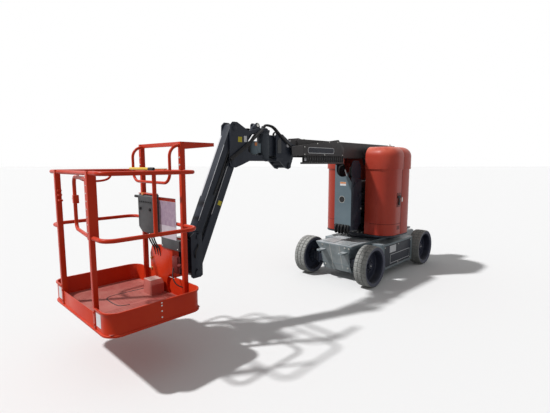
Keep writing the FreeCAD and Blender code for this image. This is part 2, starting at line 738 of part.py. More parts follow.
# Platform
def platform_bracket():
    wall = platform_rear + toe_board_lip + toe_board_wall + face_clearance
    floor = platform_bottom + floor_thickness + face_clearance
    outline = [(-340, floor), (-340, 800), (-300, 885), (-180, 905), (60, 905), (60, floor)]
    plate = plate_x(outline, wall, wall + 20).cut(
        Part.makeCylinder(bracket_cut, 60, V(wall - 20, 60, bracket_cut_z), V(1, 0, 0)))
    parts = [plate, box(wall, wall + 60, -330, -215, floor, floor + 12)]
    for z0, z1 in ((960 + face_clearance, 976), (624, 640 - face_clearance)):
        parts.append(post_z(rotator_x, 0, z0, z1, rotator_radius))
        parts.append(box(rotator_x, wall + 1, -35, 35, z0, z1))
    parts.append(box(rotator_x + rotator_radius + 10, wall + 1, -35, 35, 626, 974))
    parts.append(box(wall, wall + 20, -35, 35, 900, 976))
    return joined(parts)


def rounded_box(inset, z0, z1):
    """Block with the platform's rounded plan, smaller by the inset all round."""
    half = platform_width / 2 - inset
    body = box(platform_rear + inset, platform_front - inset, platform_y - half, platform_y + half, z0, z1)
    corners = [e for e in body.Edges if e.BoundBox.ZLength > (z1 - z0) - 0.1]
    return body.makeFillet(platform_corner - inset, corners)


def front_post(y, depth, z0, z1):
    """Upright let into the front edge of the platform."""
    return box(platform_front - 4 - depth, platform_front - 4, y - post_width / 2, y + post_width / 2, z0, z1)


def rear_post(y, z0, z1):
    return box(platform_rear + 4, platform_rear + 44, y - post_width / 2, y + post_width / 2, z0, z1)


post_foot = platform_bottom + 14 + face_clearance


def platform_floor():
    top = platform_bottom + toe_board_height
    wall = toe_board_lip + toe_board_wall
    pan = rounded_box(toe_board_lip, platform_bottom, top)
    lips = [rounded_box(0, top - 12, top), rounded_box(0, platform_bottom, platform_bottom + 14)]
    pan = joined([pan] + lips).cut(rounded_box(wall, platform_bottom + floor_thickness, top + 5))
    pan = pan.cut(box(platform_front - 60, platform_front + 1, far_post_y, near_post_y, top - 45, top + 5))
    pan = pan.cut(box(platform_rear - 1, platform_rear + 60, -41, 41, 618, top + 5))
    gap = face_clearance
    for y in (near_post_y, far_post_y):
        for slot in (front_post(y, 40, platform_bottom + 14, top + 5), rear_post(y, platform_bottom + 14, top + 5)):
            bounds = slot.BoundBox
            pan = pan.cut(box(bounds.XMin - gap, bounds.XMax + gap, bounds.YMin - gap, bounds.YMax + gap,
                              bounds.ZMin, bounds.ZMax))
    return pan


def bent_tube(points, radius, bend):
    """Round tube along a path with its square corners bent."""
    last = len(points) - 1
    pieces = []
    ends = []
    for i, here in enumerate(points):
        if i in (0, last):
            ends.append((here, here))
            continue
        into = (here - points[i - 1]).normalize()
        away = (points[i + 1] - here).normalize()
        first = here - into * bend
        final = here + away * bend
        centre = first + away * bend
        middle = centre + (here - centre).normalize() * bend
        arc = Part.Arc(first, middle, final).toShape()
        disc = Part.Wire([Part.makeCircle(radius, first, into)])
        pieces.append(Part.Wire([arc]).makePipeShell([disc], True, False))
        ends.append((first, final))
    for (_, start), (stop, _) in zip(ends, ends[1:]):
        pieces.append(Part.makeCylinder(radius, (stop - start).Length, start, stop - start))
    return joined(pieces)


def rail_path(z):
    """From the near front post round the platform to the far front post."""
    left = platform_y + platform_width / 2 - rail_inset
    right = platform_y - platform_width / 2 + rail_inset
    return [V(rail_front_x, near_post_y, z), V(rail_front_x, left, z), V(rail_rear_x, left, z),
            V(rail_rear_x, right, z), V(rail_front_x, right, z), V(rail_front_x, far_post_y, z)]


def platform_rails():
    bend = platform_corner - rail_inset
    parts = [bent_tube(rail_path(z), rail_radius, bend) for z in (top_rail_z, mid_rail_z)]
    parts.append(Part.makeCylinder(rail_radius, post_spacing, V(rail_front_x, far_post_y, top_rail_z), V(0, 1, 0)))
    post_top = top_rail_z + rail_radius
    parts.append(front_post(near_post_y, 34, post_foot, post_top))
    parts.append(front_post(near_post_y, 62, mid_rail_z - rail_radius, post_top))
    parts.append(front_post(far_post_y, 40, post_foot, post_top))
    middle = (platform_rear + platform_front) / 2
    for y in (rail_path(0)[1].y, rail_path(0)[3].y):
        parts.append(post_z(middle, y, mid_rail_z, top_rail_z, rail_radius - 1))
    for y in (near_post_y, far_post_y):
        parts.append(rear_post(y, post_foot, top_rail_z))
    ear_top = mid_rail_z - gate_tube - 2
    parts.append(box(rail_front_x - 12, rail_front_x + 12, gate_hinge_y, near_post_y - post_width / 2 + 1,
                     ear_top - 12, ear_top))
    parts.append(post_z(rail_front_x, gate_hinge_y, ear_top - 12, ear_top, 12))
    parts.append(post_z(rail_front_x, gate_hinge_y, ear_top - 2, mid_rail_z + 40, hinge_pin))
    parts.append(post_z(rail_front_x, gate_hinge_y, gate_top - 40, top_rail_z, hinge_pin))
    for z, reach in ((1345, 45), (1390, 32), (1425, 26)):
        inner = far_post_y + post_width / 2
        parts.append(box(rail_front_x - 14, rail_front_x + 14, inner - 1, inner + reach, z, z + 14))
    return joined(parts)


def gate_bar():
    y0, y1 = gate_hinge_y, gate_hinge_y - gate_length
    hoop = bent_tube([V(rail_front_x, y0, gate_top), V(rail_front_x, y1, gate_top), V(rail_front_x, y1, mid_rail_z),
                      V(rail_front_x, y0, mid_rail_z)], gate_tube, 60)
    stile = box(rail_front_x - gate_stile, rail_front_x + gate_stile, y0 - gate_stile, y0 + gate_stile,
                mid_rail_z - gate_stile, gate_top + gate_stile)
    latch = [box(rail_front_x - 24, rail_front_x + 16, y1 - 18, y1 + 30, 1335, 1400),
             Part.makeCylinder(9, 60, V(rail_front_x, y1 - 17, 1367), V(0, -1, 0))]
    gate = joined([hoop, stile] + latch)
    for z0, z1 in ((mid_rail_z - 60, mid_rail_z + 41), (gate_top - 41, gate_top + 60)):
        gate = gate.cut(post_z(rail_front_x, y0, z0, z1, hinge_pin + face_clearance))
    gate.rotate(V(rail_front_x, y0, 0), V(0, 0, 1), -gate_rest)
    return gate


nodes["platform_bracket"] = platform_bracket()
nodes["platform_floor"] = platform_floor()
nodes["platform_rails"] = platform_rails()
nodes["gate_bar"] = gate_bar()


def control_box():
    back = rail_rear_x + rail_radius + face_clearance
    return plate_y([(back, 1000), (back, 1372), (back + 42, 1372), (back + 62, 1350), (back + 62, 1060),
                    (back + 30, 1000)], far_post_y + 38, far_post_y + 325)


def console_guard():
    seat = top_rail_z + rail_radius + face_clearance
    reach = rail_rear_x + guard_reach
    high, low = guard_top - 30, 1490
    far_side = far_post_y + 45
    parts = [bent_tube([V(rail_rear_x + 10, near_post_y, high), V(reach, near_post_y, high),
                        V(reach, near_post_y, low), V(reach, far_side, low),
                        V(reach, far_side, high), V(rail_rear_x + 10, far_side, high)], guard_tube, guard_bend)]
    for y in (near_post_y, far_post_y):
        parts.append(box(rail_rear_x - 20, rail_rear_x + 20, y - 20, y + 20, seat, guard_top))
    parts.append(box(rail_rear_x - 15, rail_rear_x + 15, far_post_y, near_post_y, guard_top - 35, guard_top))
    parts.append(plate_y([(rail_rear_x, guard_top - 62), (rail_rear_x, guard_top), (3195, guard_top),
                          (3195, guard_top - 30)], near_post_y - 18, near_post_y + 18))
    return joined(parts)


def guard_bar():
    x = rail_rear_x + guard_reach + 2 * guard_tube + face_clearance
    start = far_post_y + 40
    parts = [Part.makeCylinder(guard_tube, guard_bar_length, V(x, start, guard_bar_z), V(0, 1, 0))]
    seat = top_rail_z + rail_radius + face_clearance
    for y in (start + 40, start + guard_bar_length - 40):
        parts.append(box(rail_rear_x - 12, x, y - 8, y + 8, seat, seat + 7))
    return joined(parts)


def foot_switch():
    floor = platform_bottom + floor_thickness + face_clearance
    back = platform_rear + 60
    return plate_x([(-205, floor), (-55, floor), (-55, floor + 96), (-85, floor + 130), (-205, floor + 130)],
                   back, back + 122)


nodes["control_box"] = control_box()
nodes["console_guard"] = console_guard()
nodes["guard_bar"] = guard_bar()
nodes["foot_switch"] = foot_switch()

os.makedirs("parts", exist_ok=True)
for name, shape in nodes.items():
    shape.exportStep("parts/" + name + ".step")
    print(name, "solids", len(shape.Solids), "valid", shape.isValid(), "litres", round(shape.Volume / 1e6, 2))
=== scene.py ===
import math

import bpy
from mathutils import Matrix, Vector


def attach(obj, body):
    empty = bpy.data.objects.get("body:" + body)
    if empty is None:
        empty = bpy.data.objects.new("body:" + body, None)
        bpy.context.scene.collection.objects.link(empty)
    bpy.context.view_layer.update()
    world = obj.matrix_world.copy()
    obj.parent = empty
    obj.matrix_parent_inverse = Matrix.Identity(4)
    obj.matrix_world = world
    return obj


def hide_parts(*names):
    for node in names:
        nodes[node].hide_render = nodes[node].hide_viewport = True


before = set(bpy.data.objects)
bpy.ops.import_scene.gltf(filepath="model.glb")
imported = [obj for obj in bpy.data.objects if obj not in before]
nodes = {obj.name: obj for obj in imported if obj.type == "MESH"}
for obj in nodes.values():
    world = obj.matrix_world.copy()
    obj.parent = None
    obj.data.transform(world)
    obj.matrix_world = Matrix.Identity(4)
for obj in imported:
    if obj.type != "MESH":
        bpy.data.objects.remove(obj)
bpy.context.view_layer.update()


# The view: a phone camera at eye height, on the platform's side of the
# machine, looking back along it and slightly down.
bpy.ops.object.select_all(action="DESELECT")
bpy.ops.object.camera_add(location=(5.207, 2.929, 1.651),
                          rotation=(math.radians(83.35), 0, math.radians(133.72)))
camera = bpy.context.object
camera.name = "view_camera"
camera.data.lens = 24.13
camera.data.sensor_width = 36
camera.data.clip_end = 200
bpy.context.scene.camera = camera


# Studio: a pale floor that runs out of sight, an even pale sky, and one broad
# lamp high over the machine's front right, where the daylight comes from.
def seen_directly(tree):
    """1 where the view, a mirror or glass shows a surface, 0 where it only passes light on."""
    rays = tree.nodes.new("ShaderNodeLightPath")
    seen = rays.outputs["Is Camera Ray"]
    for kind in ("Is Transmission Ray", "Is Glossy Ray"):
        either = tree.nodes.new("ShaderNodeMath")
        either.operation = "MAXIMUM"
        tree.links.new(seen, either.inputs[0])
        tree.links.new(rays.outputs[kind], either.inputs[1])
        seen = either.outputs[0]
    return seen


floor_seen_tone, floor_lit_tone = 0.8, 0.35
bpy.ops.mesh.primitive_plane_add(size=600, location=(0, 0, 0))
studio_floor = bpy.context.object
studio_floor.name = "studio_floor"
floor_finish = bpy.data.materials.new("studio_floor_finish")
floor_finish.use_nodes = True
floor_tree = floor_finish.node_tree
floor_shader = floor_tree.nodes["Principled BSDF"]
floor_shader.inputs["Roughness"].default_value = 0.9
floor_tone = floor_tree.nodes.new("ShaderNodeMapRange")
floor_tone.inputs["To Min"].default_value = floor_lit_tone
floor_tone.inputs["To Max"].default_value = floor_seen_tone
floor_tree.links.new(seen_directly(floor_tree), floor_tone.inputs["Value"])
floor_tree.links.new(floor_tone.outputs["Result"], floor_shader.inputs["Base Color"])
studio_floor.data.materials.append(floor_finish)

bpy.ops.object.light_add(type="SUN", rotation=(math.radians(38), 0, math.radians(55)))
sun = bpy.context.object
sun.name = "day_lamp"
sun.data.energy = 3.3
sun.data.angle = math.radians(3)

world = bpy.data.worlds.new("studio_world")
bpy.context.scene.world = world
world.use_nodes = True
sky = world.node_tree
lit_sky = sky.nodes["Background"]
seen_sky = sky.nodes.new("ShaderNodeBackground")
for part, strength in ((lit_sky, 0.32), (seen_sky, 1.0)):
    part.inputs["Color"].default_value = (1, 1, 1, 1)
    part.inputs["Strength"].default_value = strength
sky_mix = sky.nodes.new("ShaderNodeMixShader")
for source, target in ((seen_directly(sky), 0), (lit_sky.outputs[0], 1), (seen_sky.outputs[0], 2)):
    sky.links.new(source, sky_mix.inputs[target])
sky.links.new(sky_mix.outputs[0], sky.nodes["World Output"].inputs["Surface"])
bpy.context.scene.view_settings.view_transform = "Standard"


# Tyres: solid rubber pressed on steel rims, a light non-marking compound with
# three rows of blocks round the tread, greyed by dust and scuffed at the edges.
slot_for = {}


def finish_of(name, slot, colour, faded, roughness, bump=0.15, grain=180.0, metallic=0.0, dust_and_sunlit_top=None,
              dust_and_sunlit_from=0.55, patches=2.5, chips=None, gloss=0.22):
    """Aged paint or plastic: two tones in patches, fine grain, a dull gloss, and a tone on what faces up,
    dust on some finishes and a painted sunlit top on others.
    The slot is recorded with the finish, and nothing uses it further."""
    made = bpy.data.materials.new(name)
    made.use_nodes = True
    slot_for[made.name] = slot
    tree = made.node_tree
    shader = tree.nodes["Principled BSDF"]
    place = tree.nodes.new("ShaderNodeTexCoord")

    def noise(scale, detail, rough=0.6):
        cloud = tree.nodes.new("ShaderNodeTexNoise")
        cloud.inputs["Scale"].default_value = scale
        cloud.inputs["Detail"].default_value = detail
        cloud.inputs["Roughness"].default_value = rough
        tree.links.new(place.outputs["Object"], cloud.inputs["Vector"])
        return cloud.outputs["Fac"]

    def ramp(source, low, high, first=(0, 0, 0), last=(1, 1, 1)):
        steps = tree.nodes.new("ShaderNodeValToRGB")
        for stop, position, tone in zip(steps.color_ramp.elements, (low, high), (first, last)):
            stop.position = position
            stop.color = (*tone, 1)
        tree.links.new(source, steps.inputs["Fac"])
        return steps.outputs["Color"]

    def over(factor, under, top):
        mix = tree.nodes.new("ShaderNodeMix")
        mix.data_type = "RGBA"
        tree.links.new(factor, mix.inputs["Factor"])
        tree.links.new(under, mix.inputs[6])
        mix.inputs[7].default_value = (*top, 1)
        return mix.outputs[2]

    coat = ramp(noise(patches, 6), 0.32, 0.72, colour, faded)
    if chips:
        coat = over(ramp(noise(38.0, 4, 0.75), 0.685, 0.7), coat, chips)
    # Up-facing tone: real dust on most finishes, painted sunlight on the hood and platform paints.
    if dust_and_sunlit_top:
        facing = tree.nodes.new("ShaderNodeSeparateXYZ")
        tree.links.new(place.outputs["Normal"], facing.inputs[0])
        amount = tree.nodes.new("ShaderNodeMix")
        amount.data_type = "RGBA"
        amount.blend_type = "MULTIPLY"
        amount.inputs["Factor"].default_value = 1.0
        tree.links.new(ramp(facing.outputs["Z"], dust_and_sunlit_from, 1.0), amount.inputs[6])
        tree.links.new(ramp(noise(7.0, 8, 0.7), 0.3, 0.7), amount.inputs[7])
        coat = over(amount.outputs[2], coat, dust_and_sunlit_top)
    tree.links.new(coat, shader.inputs["Base Color"])
    sheen = tree.nodes.new("ShaderNodeMapRange")
    sheen.inputs["To Min"].default_value = max(0.05, roughness - 0.1)
    sheen.inputs["To Max"].default_value = min(1.0, roughness + 0.14)
    tree.links.new(noise(14.0, 5), sheen.inputs["Value"])
    tree.links.new(sheen.outputs["Result"], shader.inputs["Roughness"])
    shader.inputs["Metallic"].default_value = metallic
    shader.inputs["Specular IOR Level"].default_value = gloss
    relief = tree.nodes.new("ShaderNodeBump")
    relief.inputs["Strength"].default_value = bump
    relief.inputs["Distance"].default_value = 0.002
    tree.links.new(noise(grain, 3), relief.inputs["Height"])
    tree.links.new(relief.outputs["Normal"], shader.inputs["Normal"])
    return made


def clear():
    if bpy.context.object and bpy.context.object.mode != "OBJECT":
        bpy.ops.object.mode_set(mode="OBJECT")
    bpy.ops.object.select_all(action="DESELECT")


def only(piece):
    clear()
    piece.select_set(True)
    bpy.context.view_layer.objects.active = piece


def edit(action="SELECT"):
    """Into edit mode, with everything selected or nothing."""
    bpy.ops.object.mode_set(mode="EDIT")
    bpy.ops.mesh.select_all(action=action)


def leave():
    bpy.ops.object.mode_set(mode="OBJECT")


def settle(piece, angle=32.0):
    """Bakes the piece's place into its mesh and smooths its round faces."""
    only(piece)
    bpy.ops.object.transform_apply(location=True, rotation=True, scale=True)
    edit()
    bpy.ops.mesh.normals_make_consistent(inside=False)
    leave()
    bpy.ops.object.shade_smooth_by_angle(angle=math.radians(angle))
    return piece


def together(pieces):
    """The pieces as one mesh."""
    clear()
    for piece in pieces:
        piece.select_set(True)
    bpy.context.view_layer.objects.active = pieces[0]
    if len(pieces) > 1:
        bpy.ops.object.join()
    return bpy.context.object


def copied(piece, move=(0, 0, 0), turn=0.0, axis="Z", about=(0, 0, 0)):
    """A copy with its own mesh, turned about a point and moved."""
    only(piece)
    bpy.ops.object.duplicate()
    edit()
    if turn:
        bpy.ops.transform.rotate(value=-turn, orient_axis=axis, center_override=about)
    if any(move):
        bpy.ops.transform.translate(value=move)
    leave()
    return bpy.context.object


def fitted(piece, name, finish, body, slot=None, stands_for=()):
    """Names, paints and mounts a finished piece, or a list of them as one, on its body.
    The slot is worked out, the finish's own unless one is given, and then not used."""
    if isinstance(piece, list):
        piece = together(piece)
    piece.name = name
    piece.data.name = name
    kept = [face.material_index for face in piece.data.polygons]
    piece.data.materials.clear()
    coats = finish if isinstance(finish, list) else [finish]
    for coat in coats:
        piece.data.materials.append(coat)
    piece.data.polygons.foreach_set("material_index", kept)
    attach(piece, body)
    slot = slot_for[coats[0].name] if slot is None else slot
    if stands_for:
        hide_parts(*stands_for)
    return piece


def lathe(profile, place, axis="Y", sides=48, closed=True):
    """Round form from steps of (distance along the axis, radius), extruded and sized step by step."""
    clear()
    start, radius = profile[0]
    bpy.ops.mesh.primitive_circle_add(vertices=sides, radius=radius,
                                      fill_type="NGON" if closed else "NOTHING", location=(0, 0, start))
    form = bpy.context.object
    bpy.ops.object.transform_apply(location=True, rotation=True, scale=True)
    edit()
    extrude = bpy.ops.mesh.extrude_region_move if closed else bpy.ops.mesh.extrude_edges_move
    for (t0, r0), (t1, r1) in zip(profile, profile[1:]):
        extrude(TRANSFORM_OT_translate={"value": (0, 0, t1 - t0)})
        ratio = r1 / r0
        bpy.ops.transform.resize(value=(ratio, ratio, 1), center_override=(0, 0, t1))
    leave()
    form.rotation_euler = {"X": (0, math.pi / 2, 0), "Y": (-math.pi / 2, 0, 0), "Z": (0, 0, 0)}[axis]
    form.location = place
    return settle(form)


wheel_x, wheel_y, axle_height = 0.825, 0.506, 0.2795
first_hub = (wheel_x, wheel_y, axle_height)
wheel_spots = {"front_left": (wheel_x, wheel_y), "front_right": (wheel_x, -wheel_y),
               "rear_left": (-wheel_x, wheel_y), "rear_right": (-wheel_x, -wheel_y)}
tyre_half, tread_floor = 0.089, 0.268
block_gap, block_depth = 0.007, 0.0112
tyre_rubber = finish_of("tyre_rubber", "tread_rubber", (0.235, 0.243, 0.236), (0.33, 0.335, 0.322), 0.88,
                        bump=0.5, grain=90.0, patches=9.0, dust_and_sunlit_top=(0.4, 0.39, 0.37), dust_and_sunlit_from=0.3,
                        chips=(0.14, 0.14, 0.14))
tyre_wall = finish_of("tyre_wall", None, (0.105, 0.11, 0.15), (0.155, 0.16, 0.2), 0.75, bump=0.4, grain=110.0,
                      patches=7.0, dust_and_sunlit_top=(0.12, 0.12, 0.12), dust_and_sunlit_from=0.3)
bpy.ops.mesh.primitive_cylinder_add(vertices=30, radius=tread_floor, depth=2 * tyre_half,
                                    end_fill_type="NOTHING", location=first_hub, rotation=(math.pi / 2, 0, 0))
first_tyre = bpy.context.object
tyre_mesh = first_tyre.data
only(first_tyre)
bpy.ops.object.transform_apply(location=True, rotation=True, scale=True)


def edges_chosen(chosen):
    """Into edit mode on the tyre, with only the edges selected whose two ends pass the test."""
    bpy.ops.object.mode_set(mode="EDIT")
    bpy.ops.mesh.select_mode(type="EDGE")
    bpy.ops.mesh.select_all(action="DESELECT")
    leave()
    for edge in tyre_mesh.edges:
        edge.select = chosen(*[tyre_mesh.vertices[i].co.y for i in edge.vertices])
    bpy.ops.object.mode_set(mode="EDIT")


edges_chosen(lambda y0, y1: abs(y0 - y1) > 0.1)
bpy.ops.mesh.subdivide(number_cuts=2)
bpy.ops.mesh.select_all(action="DESELECT")
leave()
for side in (1, -1):
    wall_y = wheel_y + side * tyre_half
    edges_chosen(lambda y0, y1: abs(y0 - wall_y) < 1e-4 and abs(y1 - wall_y) < 1e-4)
    wall_centre = (wheel_x, wall_y, axle_height)
    bpy.ops.transform.resize(value=(0.985, 1, 0.985), center_override=wall_centre)
    for step_y, step_ratio in ((0.0, 0.965), (-0.004, 0.94), (-0.0075, 0.942)):
        bpy.ops.mesh.extrude_edges_move(TRANSFORM_OT_translate={"value": (0, side * step_y, 0)})
        bpy.ops.transform.resize(value=(step_ratio, 1, step_ratio), center_override=wall_centre)
    leave()
bpy.ops.object.mode_set(mode="EDIT")
bpy.ops.mesh.select_mode(type="FACE")
bpy.ops.mesh.select_all(action="SELECT")
bpy.ops.mesh.normals_make_consistent(inside=False)
bpy.ops.mesh.select_all(action="DESELECT")
leave()
for face in tyre_mesh.polygons:
    spoke = Vector((face.center.x - wheel_x, 0, face.center.z - axle_height))
    face.select = spoke.length > 0.255 and abs(face.normal.y) < 0.4 and abs(face.center.y - wheel_y) < 0.08
    if face.select and face.normal.dot(spoke) < 0:
        face.flip()
bpy.ops.object.mode_set(mode="EDIT")
bpy.ops.mesh.inset(use_individual=True, thickness=block_gap, depth=block_depth)
leave()
tyre_mesh.materials.append(tyre_rubber)
tyre_mesh.materials.append(tyre_wall)
for face in tyre_mesh.polygons:
    spoke = math.hypot(face.center.x - wheel_x, face.center.z - axle_height)
    if abs(face.center.y - wheel_y) > 0.0885 or (abs(face.normal.y) > 0.7 and spoke < 0.266):
        face.material_index = 1
only(first_tyre)
bpy.ops.object.shade_smooth_by_angle(angle=math.radians(20))


def at_each_wheel(parts, turned=True):
    """The first wheel's parts, and copies of them at the other wheels, turned about on the right side."""
    sets = {"front_left": parts}
    for spot, (x, y) in wheel_spots.items():
        if spot != "front_left":
            turn = math.pi if turned and y < 0 else 0.0
            move = (x - wheel_x, y - wheel_y, 0)
            sets[spot] = [copied(part, move, turn, about=first_hub) for part in parts]
    return sets.items()


for spot, (tyre,) in at_each_wheel([first_tyre], turned=False):
    fitted(tyre, "tyre_tread_" + spot, [tyre_rubber, tyre_wall], "wheel_" + spot, stands_for=["tyre_" + spot])


# Rims: deep pressed dishes with a rolled lip, dark blue-grey paint gone
# chalky, held by nine nuts round a capped hub.
rim_paint = finish_of("rim_paint", "rim_paint", (0.017, 0.02, 0.036), (0.034, 0.038, 0.06), 0.5, bump=0.2,
                      dust_and_sunlit_top=(0.08, 0.08, 0.085), dust_and_sunlit_from=0.4, patches=6.0)
zinc = finish_of("zinc_fixings", "bright_rod", (0.42, 0.42, 0.4), (0.55, 0.54, 0.51), 0.38, bump=0.1,
                 metallic=0.9, patches=20.0)
rim_profile = [(-0.014, 0.034), (-0.014, 0.098), (-0.02, 0.105), (-0.028, 0.118), (-0.028, 0.2),
               (-0.018, 0.21), (0.06, 0.2118), (0.07, 0.215), (0.077, 0.2225), (0.077, 0.225), (0.06, 0.225),
               (-0.06, 0.225), (-0.077, 0.225), (-0.077, 0.214), (-0.048, 0.212), (-0.038, 0.205),
               (-0.038, 0.044)]
first_rim = lathe(rim_profile, first_hub, sides=64, closed=False)
hub_cap = lathe([(-0.03, 0.046), (0.004, 0.046), (0.011, 0.04), (0.013, 0.03), (0.013, 0.012)], first_hub,
                sides=32)
nut_circle = 0.074
nut = lathe([(-0.0145, 0.014), (-0.011, 0.014), (-0.0105, 0.0118), (0.001, 0.0118), (0.003, 0.009)],
            (wheel_x + nut_circle, wheel_y, axle_height), sides=6)
grease_plug = lathe([(0.0125, 0.0085), (0.019, 0.0085), (0.0205, 0.0065)], first_hub, sides=6)
nuts = together([nut] + [copied(nut, turn=k * math.tau / 9, axis="Y", about=first_hub) for k in range(1, 9)])
for spot, (rim, cap, ring, plug) in at_each_wheel([first_rim, hub_cap, nuts, grease_plug]):
    body = "wheel_" + spot
    fitted(rim, "rim_dish_" + spot, rim_paint, body, stands_for=["rim_" + spot])
    fitted(cap, "hub_cap_" + spot, rim_paint, body)
    fitted(ring, "wheel_nuts_" + spot, rim_paint, body)
    fitted(plug, "hub_plug_" + spot, zinc, body)


# Chassis: folded and welded steel plate, grey-green enamel with scratches,
# paler on the flat tops, and a dark side with bolted covers.
def refined(node, name, finish, body, bevel=0.002, segments=2, angle=35.0):
    """A CAD piece's own form with its triangles merged, its edges broken and its round faces smooth."""
    clear()
    source = nodes[node]
    form = source.copy()
    form.data = source.data.copy()
    bpy.context.collection.objects.link(form)
    form.parent = None
    for key in list(form.keys()):
        del form[key]
    only(form)
    bpy.ops.object.transform_apply(location=True, rotation=True, scale=True)
    edit()
    bpy.ops.mesh.remove_doubles(threshold=0.00002)
    bpy.ops.mesh.customdata_custom_splitnormals_clear()
    bpy.ops.mesh.dissolve_limited(angle_limit=math.radians(0.3))
    leave()
    if bevel:
        edges = form.modifiers.new("broken_edges", "BEVEL")
        edges.width = bevel
        edges.segments = segments
        edges.limit_method = "ANGLE"
        edges.angle_limit = math.radians(50)
        edges.use_clamp_overlap = True
        bpy.ops.object.modifier_apply(modifier=edges.name)
    bpy.ops.object.shade_smooth_by_angle(angle=math.radians(angle))
    return fitted(form, name, finish, body, stands_for=[node])


def block(low, high, edge=0.001, segments=1):
    """Rectangular form between two corners with its edges broken."""
    clear()
    middle = [(a + b) / 2 for a, b in zip(low, high)]
    bpy.ops.mesh.primitive_cube_add(size=1, location=middle)
    form = bpy.context.object
    form.scale = [b - a for a, b in zip(low, high)]
    bpy.ops.object.transform_apply(location=True, rotation=True, scale=True)
    edit()
    bpy.ops.mesh.bevel(offset=edge, segments=segments)
    leave()
    return settle(form)


def outline_plate(points, across, low, high, edge=0.0015):
    """Flat plate of the outline, standing across an axis between two distances along it."""
    clear()
    bpy.ops.mesh.primitive_circle_add(vertices=len(points), radius=1, fill_type="NGON")
    form = bpy.context.object
    for vertex, (a, b) in zip(form.data.vertices, points):
        vertex.co = {"X": (low, a, b), "Y": (a, low, b), "Z": (a, b, low)}[across]
    way = {"X": (1, 0, 0), "Y": (0, 1, 0), "Z": (0, 0, 1)}[across]
    edit()
    bpy.ops.mesh.extrude_region_move(TRANSFORM_OT_translate={"value": [w * (high - low) for w in way]})
    bpy.ops.mesh.select_all(action="SELECT")
    bpy.ops.mesh.normals_make_consistent(inside=False)
    if edge:
        bpy.ops.mesh.bevel(offset=edge, segments=1)
    leave()
    return settle(form)


def hose(points, radius, sides=3):
    """Round tube along a smooth line."""
    clear()
    bpy.ops.curve.primitive_nurbs_path_add()
    line = bpy.context.object
    line.data.splines.clear()
    spline = line.data.splines.new("NURBS")
    spline.points.add(len(points) - 1)
    for point, where in zip(spline.points, points):
        point.co = (*where, 1)
    spline.use_endpoint_u = True
    spline.order_u = 3
    spline.resolution_u = 6
    line.data.dimensions = "3D"
    line.data.bevel_depth = radius
    line.data.bevel_resolution = sides
    line.data.use_fill_caps = True
    line.location = (0, 0, 0)
    only(line)
    bpy.ops.object.convert(target="MESH")
    return settle(bpy.context.object)


def bolts(spots, axis, radius=0.009, height=0.006, sides=6, washer=True):
    """Hexagon heads on washers at the given places, their height along the axis."""
    foot = radius * 1.35 if washer else radius
    tip = abs(height)
    steps = [(0, foot), (0.0015, foot), (0.0018, radius), (tip, radius), (tip + 0.001, radius * 0.8)]
    if height < 0:
        steps = [(-t, r) for t, r in steps]
    first = lathe(steps, spots[0], axis=axis, sides=12 if washer else sides)
    return together([first] + [copied(first, move=[b - a for a, b in zip(spots[0], spot)])
                               for spot in spots[1:]])


def bolt_circle(count, radius, x, z):
    """Places round an upright axis on the machine's middle line."""
    angles = [k * math.tau / count for k in range(count)]
    return [(x + radius * math.cos(a), radius * math.sin(a), z) for a in angles]


def span(side, near, far):
    """Two distances out from the middle line on one side of it, the lower one first."""
    return sorted((side * near, side * far))


# The chassis paint turns paler on what faces up.
chassis_enamel = finish_of("chassis_enamel", "chassis_paint", (0.16, 0.2, 0.222), (0.245, 0.285, 0.305), 0.42,
                           bump=0.12, dust_and_sunlit_top=(0.58, 0.59, 0.6), dust_and_sunlit_from=0.5, patches=3.5,
                           chips=(0.3, 0.3, 0.29))
dark_enamel = finish_of("dark_enamel", "dark_paint", (0.012, 0.016, 0.026), (0.024, 0.029, 0.042), 0.4,
                        bump=0.12, dust_and_sunlit_top=(0.13, 0.13, 0.13), dust_and_sunlit_from=0.75, patches=4.0,
                        chips=(0.09, 0.09, 0.1))
black_plastic = finish_of("black_plastic", "black_plastic", (0.012, 0.012, 0.013), (0.024, 0.024, 0.025), 0.6,
                          bump=0.35, grain=260.0, patches=8.0)
blank_plate = finish_of("blank_plate", None, (0.62, 0.63, 0.66), (0.72, 0.73, 0.75), 0.35, bump=0.05,
                        patches=12.0)
nose_back, nose_front, nose_top, nose_lean = 0.943, 0.975, 0.52, 0.3


def raked(piece):
    """Leans what lies at the nose plate back below its top edge."""
    for vertex in piece.data.vertices:
        if nose_back < vertex.co.x < nose_front and vertex.co.z < nose_top:
            vertex.co.x -= nose_lean * (nose_top - vertex.co.z)
    return piece


raked(refined("chassis_frame", "chassis_shell", chassis_enamel, "chassis", bevel=0.006, segments=3))

# Side covers: dark pressed plates bolted in the chassis' side pockets, each
# with a blank white-edged panel and a small blank plate above it.
pocket_floor, cover_face, panel_face = 0.4865, 0.4975, 0.499
for side, mark in ((1, "left"), (-1, "right")):
    low_y, high_y = span(side, pocket_floor, cover_face)
    cover = outline_plate([(-0.466, 0.159), (0.401, 0.159), (0.401, 0.466), (-0.466, 0.466)], "Y", low_y,
                          high_y, 0.003)
    fitted(cover, "side_cover_" + mark, dark_enamel, "chassis")
    out_low, out_high = span(side, cover_face, panel_face)
    frame_strips = [block((-0.43, out_low, z0), (0.22, out_high, z1), 0.0005)
                    for z0, z1 in ((0.19, 0.197), (0.318, 0.325))]
    frame_strips += [block((x0, out_low, 0.19), (x0 + 0.007, out_high, 0.325), 0.0005)
                     for x0 in (-0.43, 0.213)]
    fitted(frame_strips, "side_panel_edge_" + mark, blank_plate, "chassis")
    small = block((0.045, out_low, 0.352), (0.24, out_high, 0.455), 0.0005)
    fitted(small, "side_plate_blank_" + mark, blank_plate, "chassis")
    corners = [(x, side * cover_face, z) for x in (-0.45, -0.03, 0.385) for z in (0.174, 0.451)]
    fitted(bolts(corners, "Y", 0.008, side * 0.006), "side_cover_bolts_" + mark, zinc, "chassis")

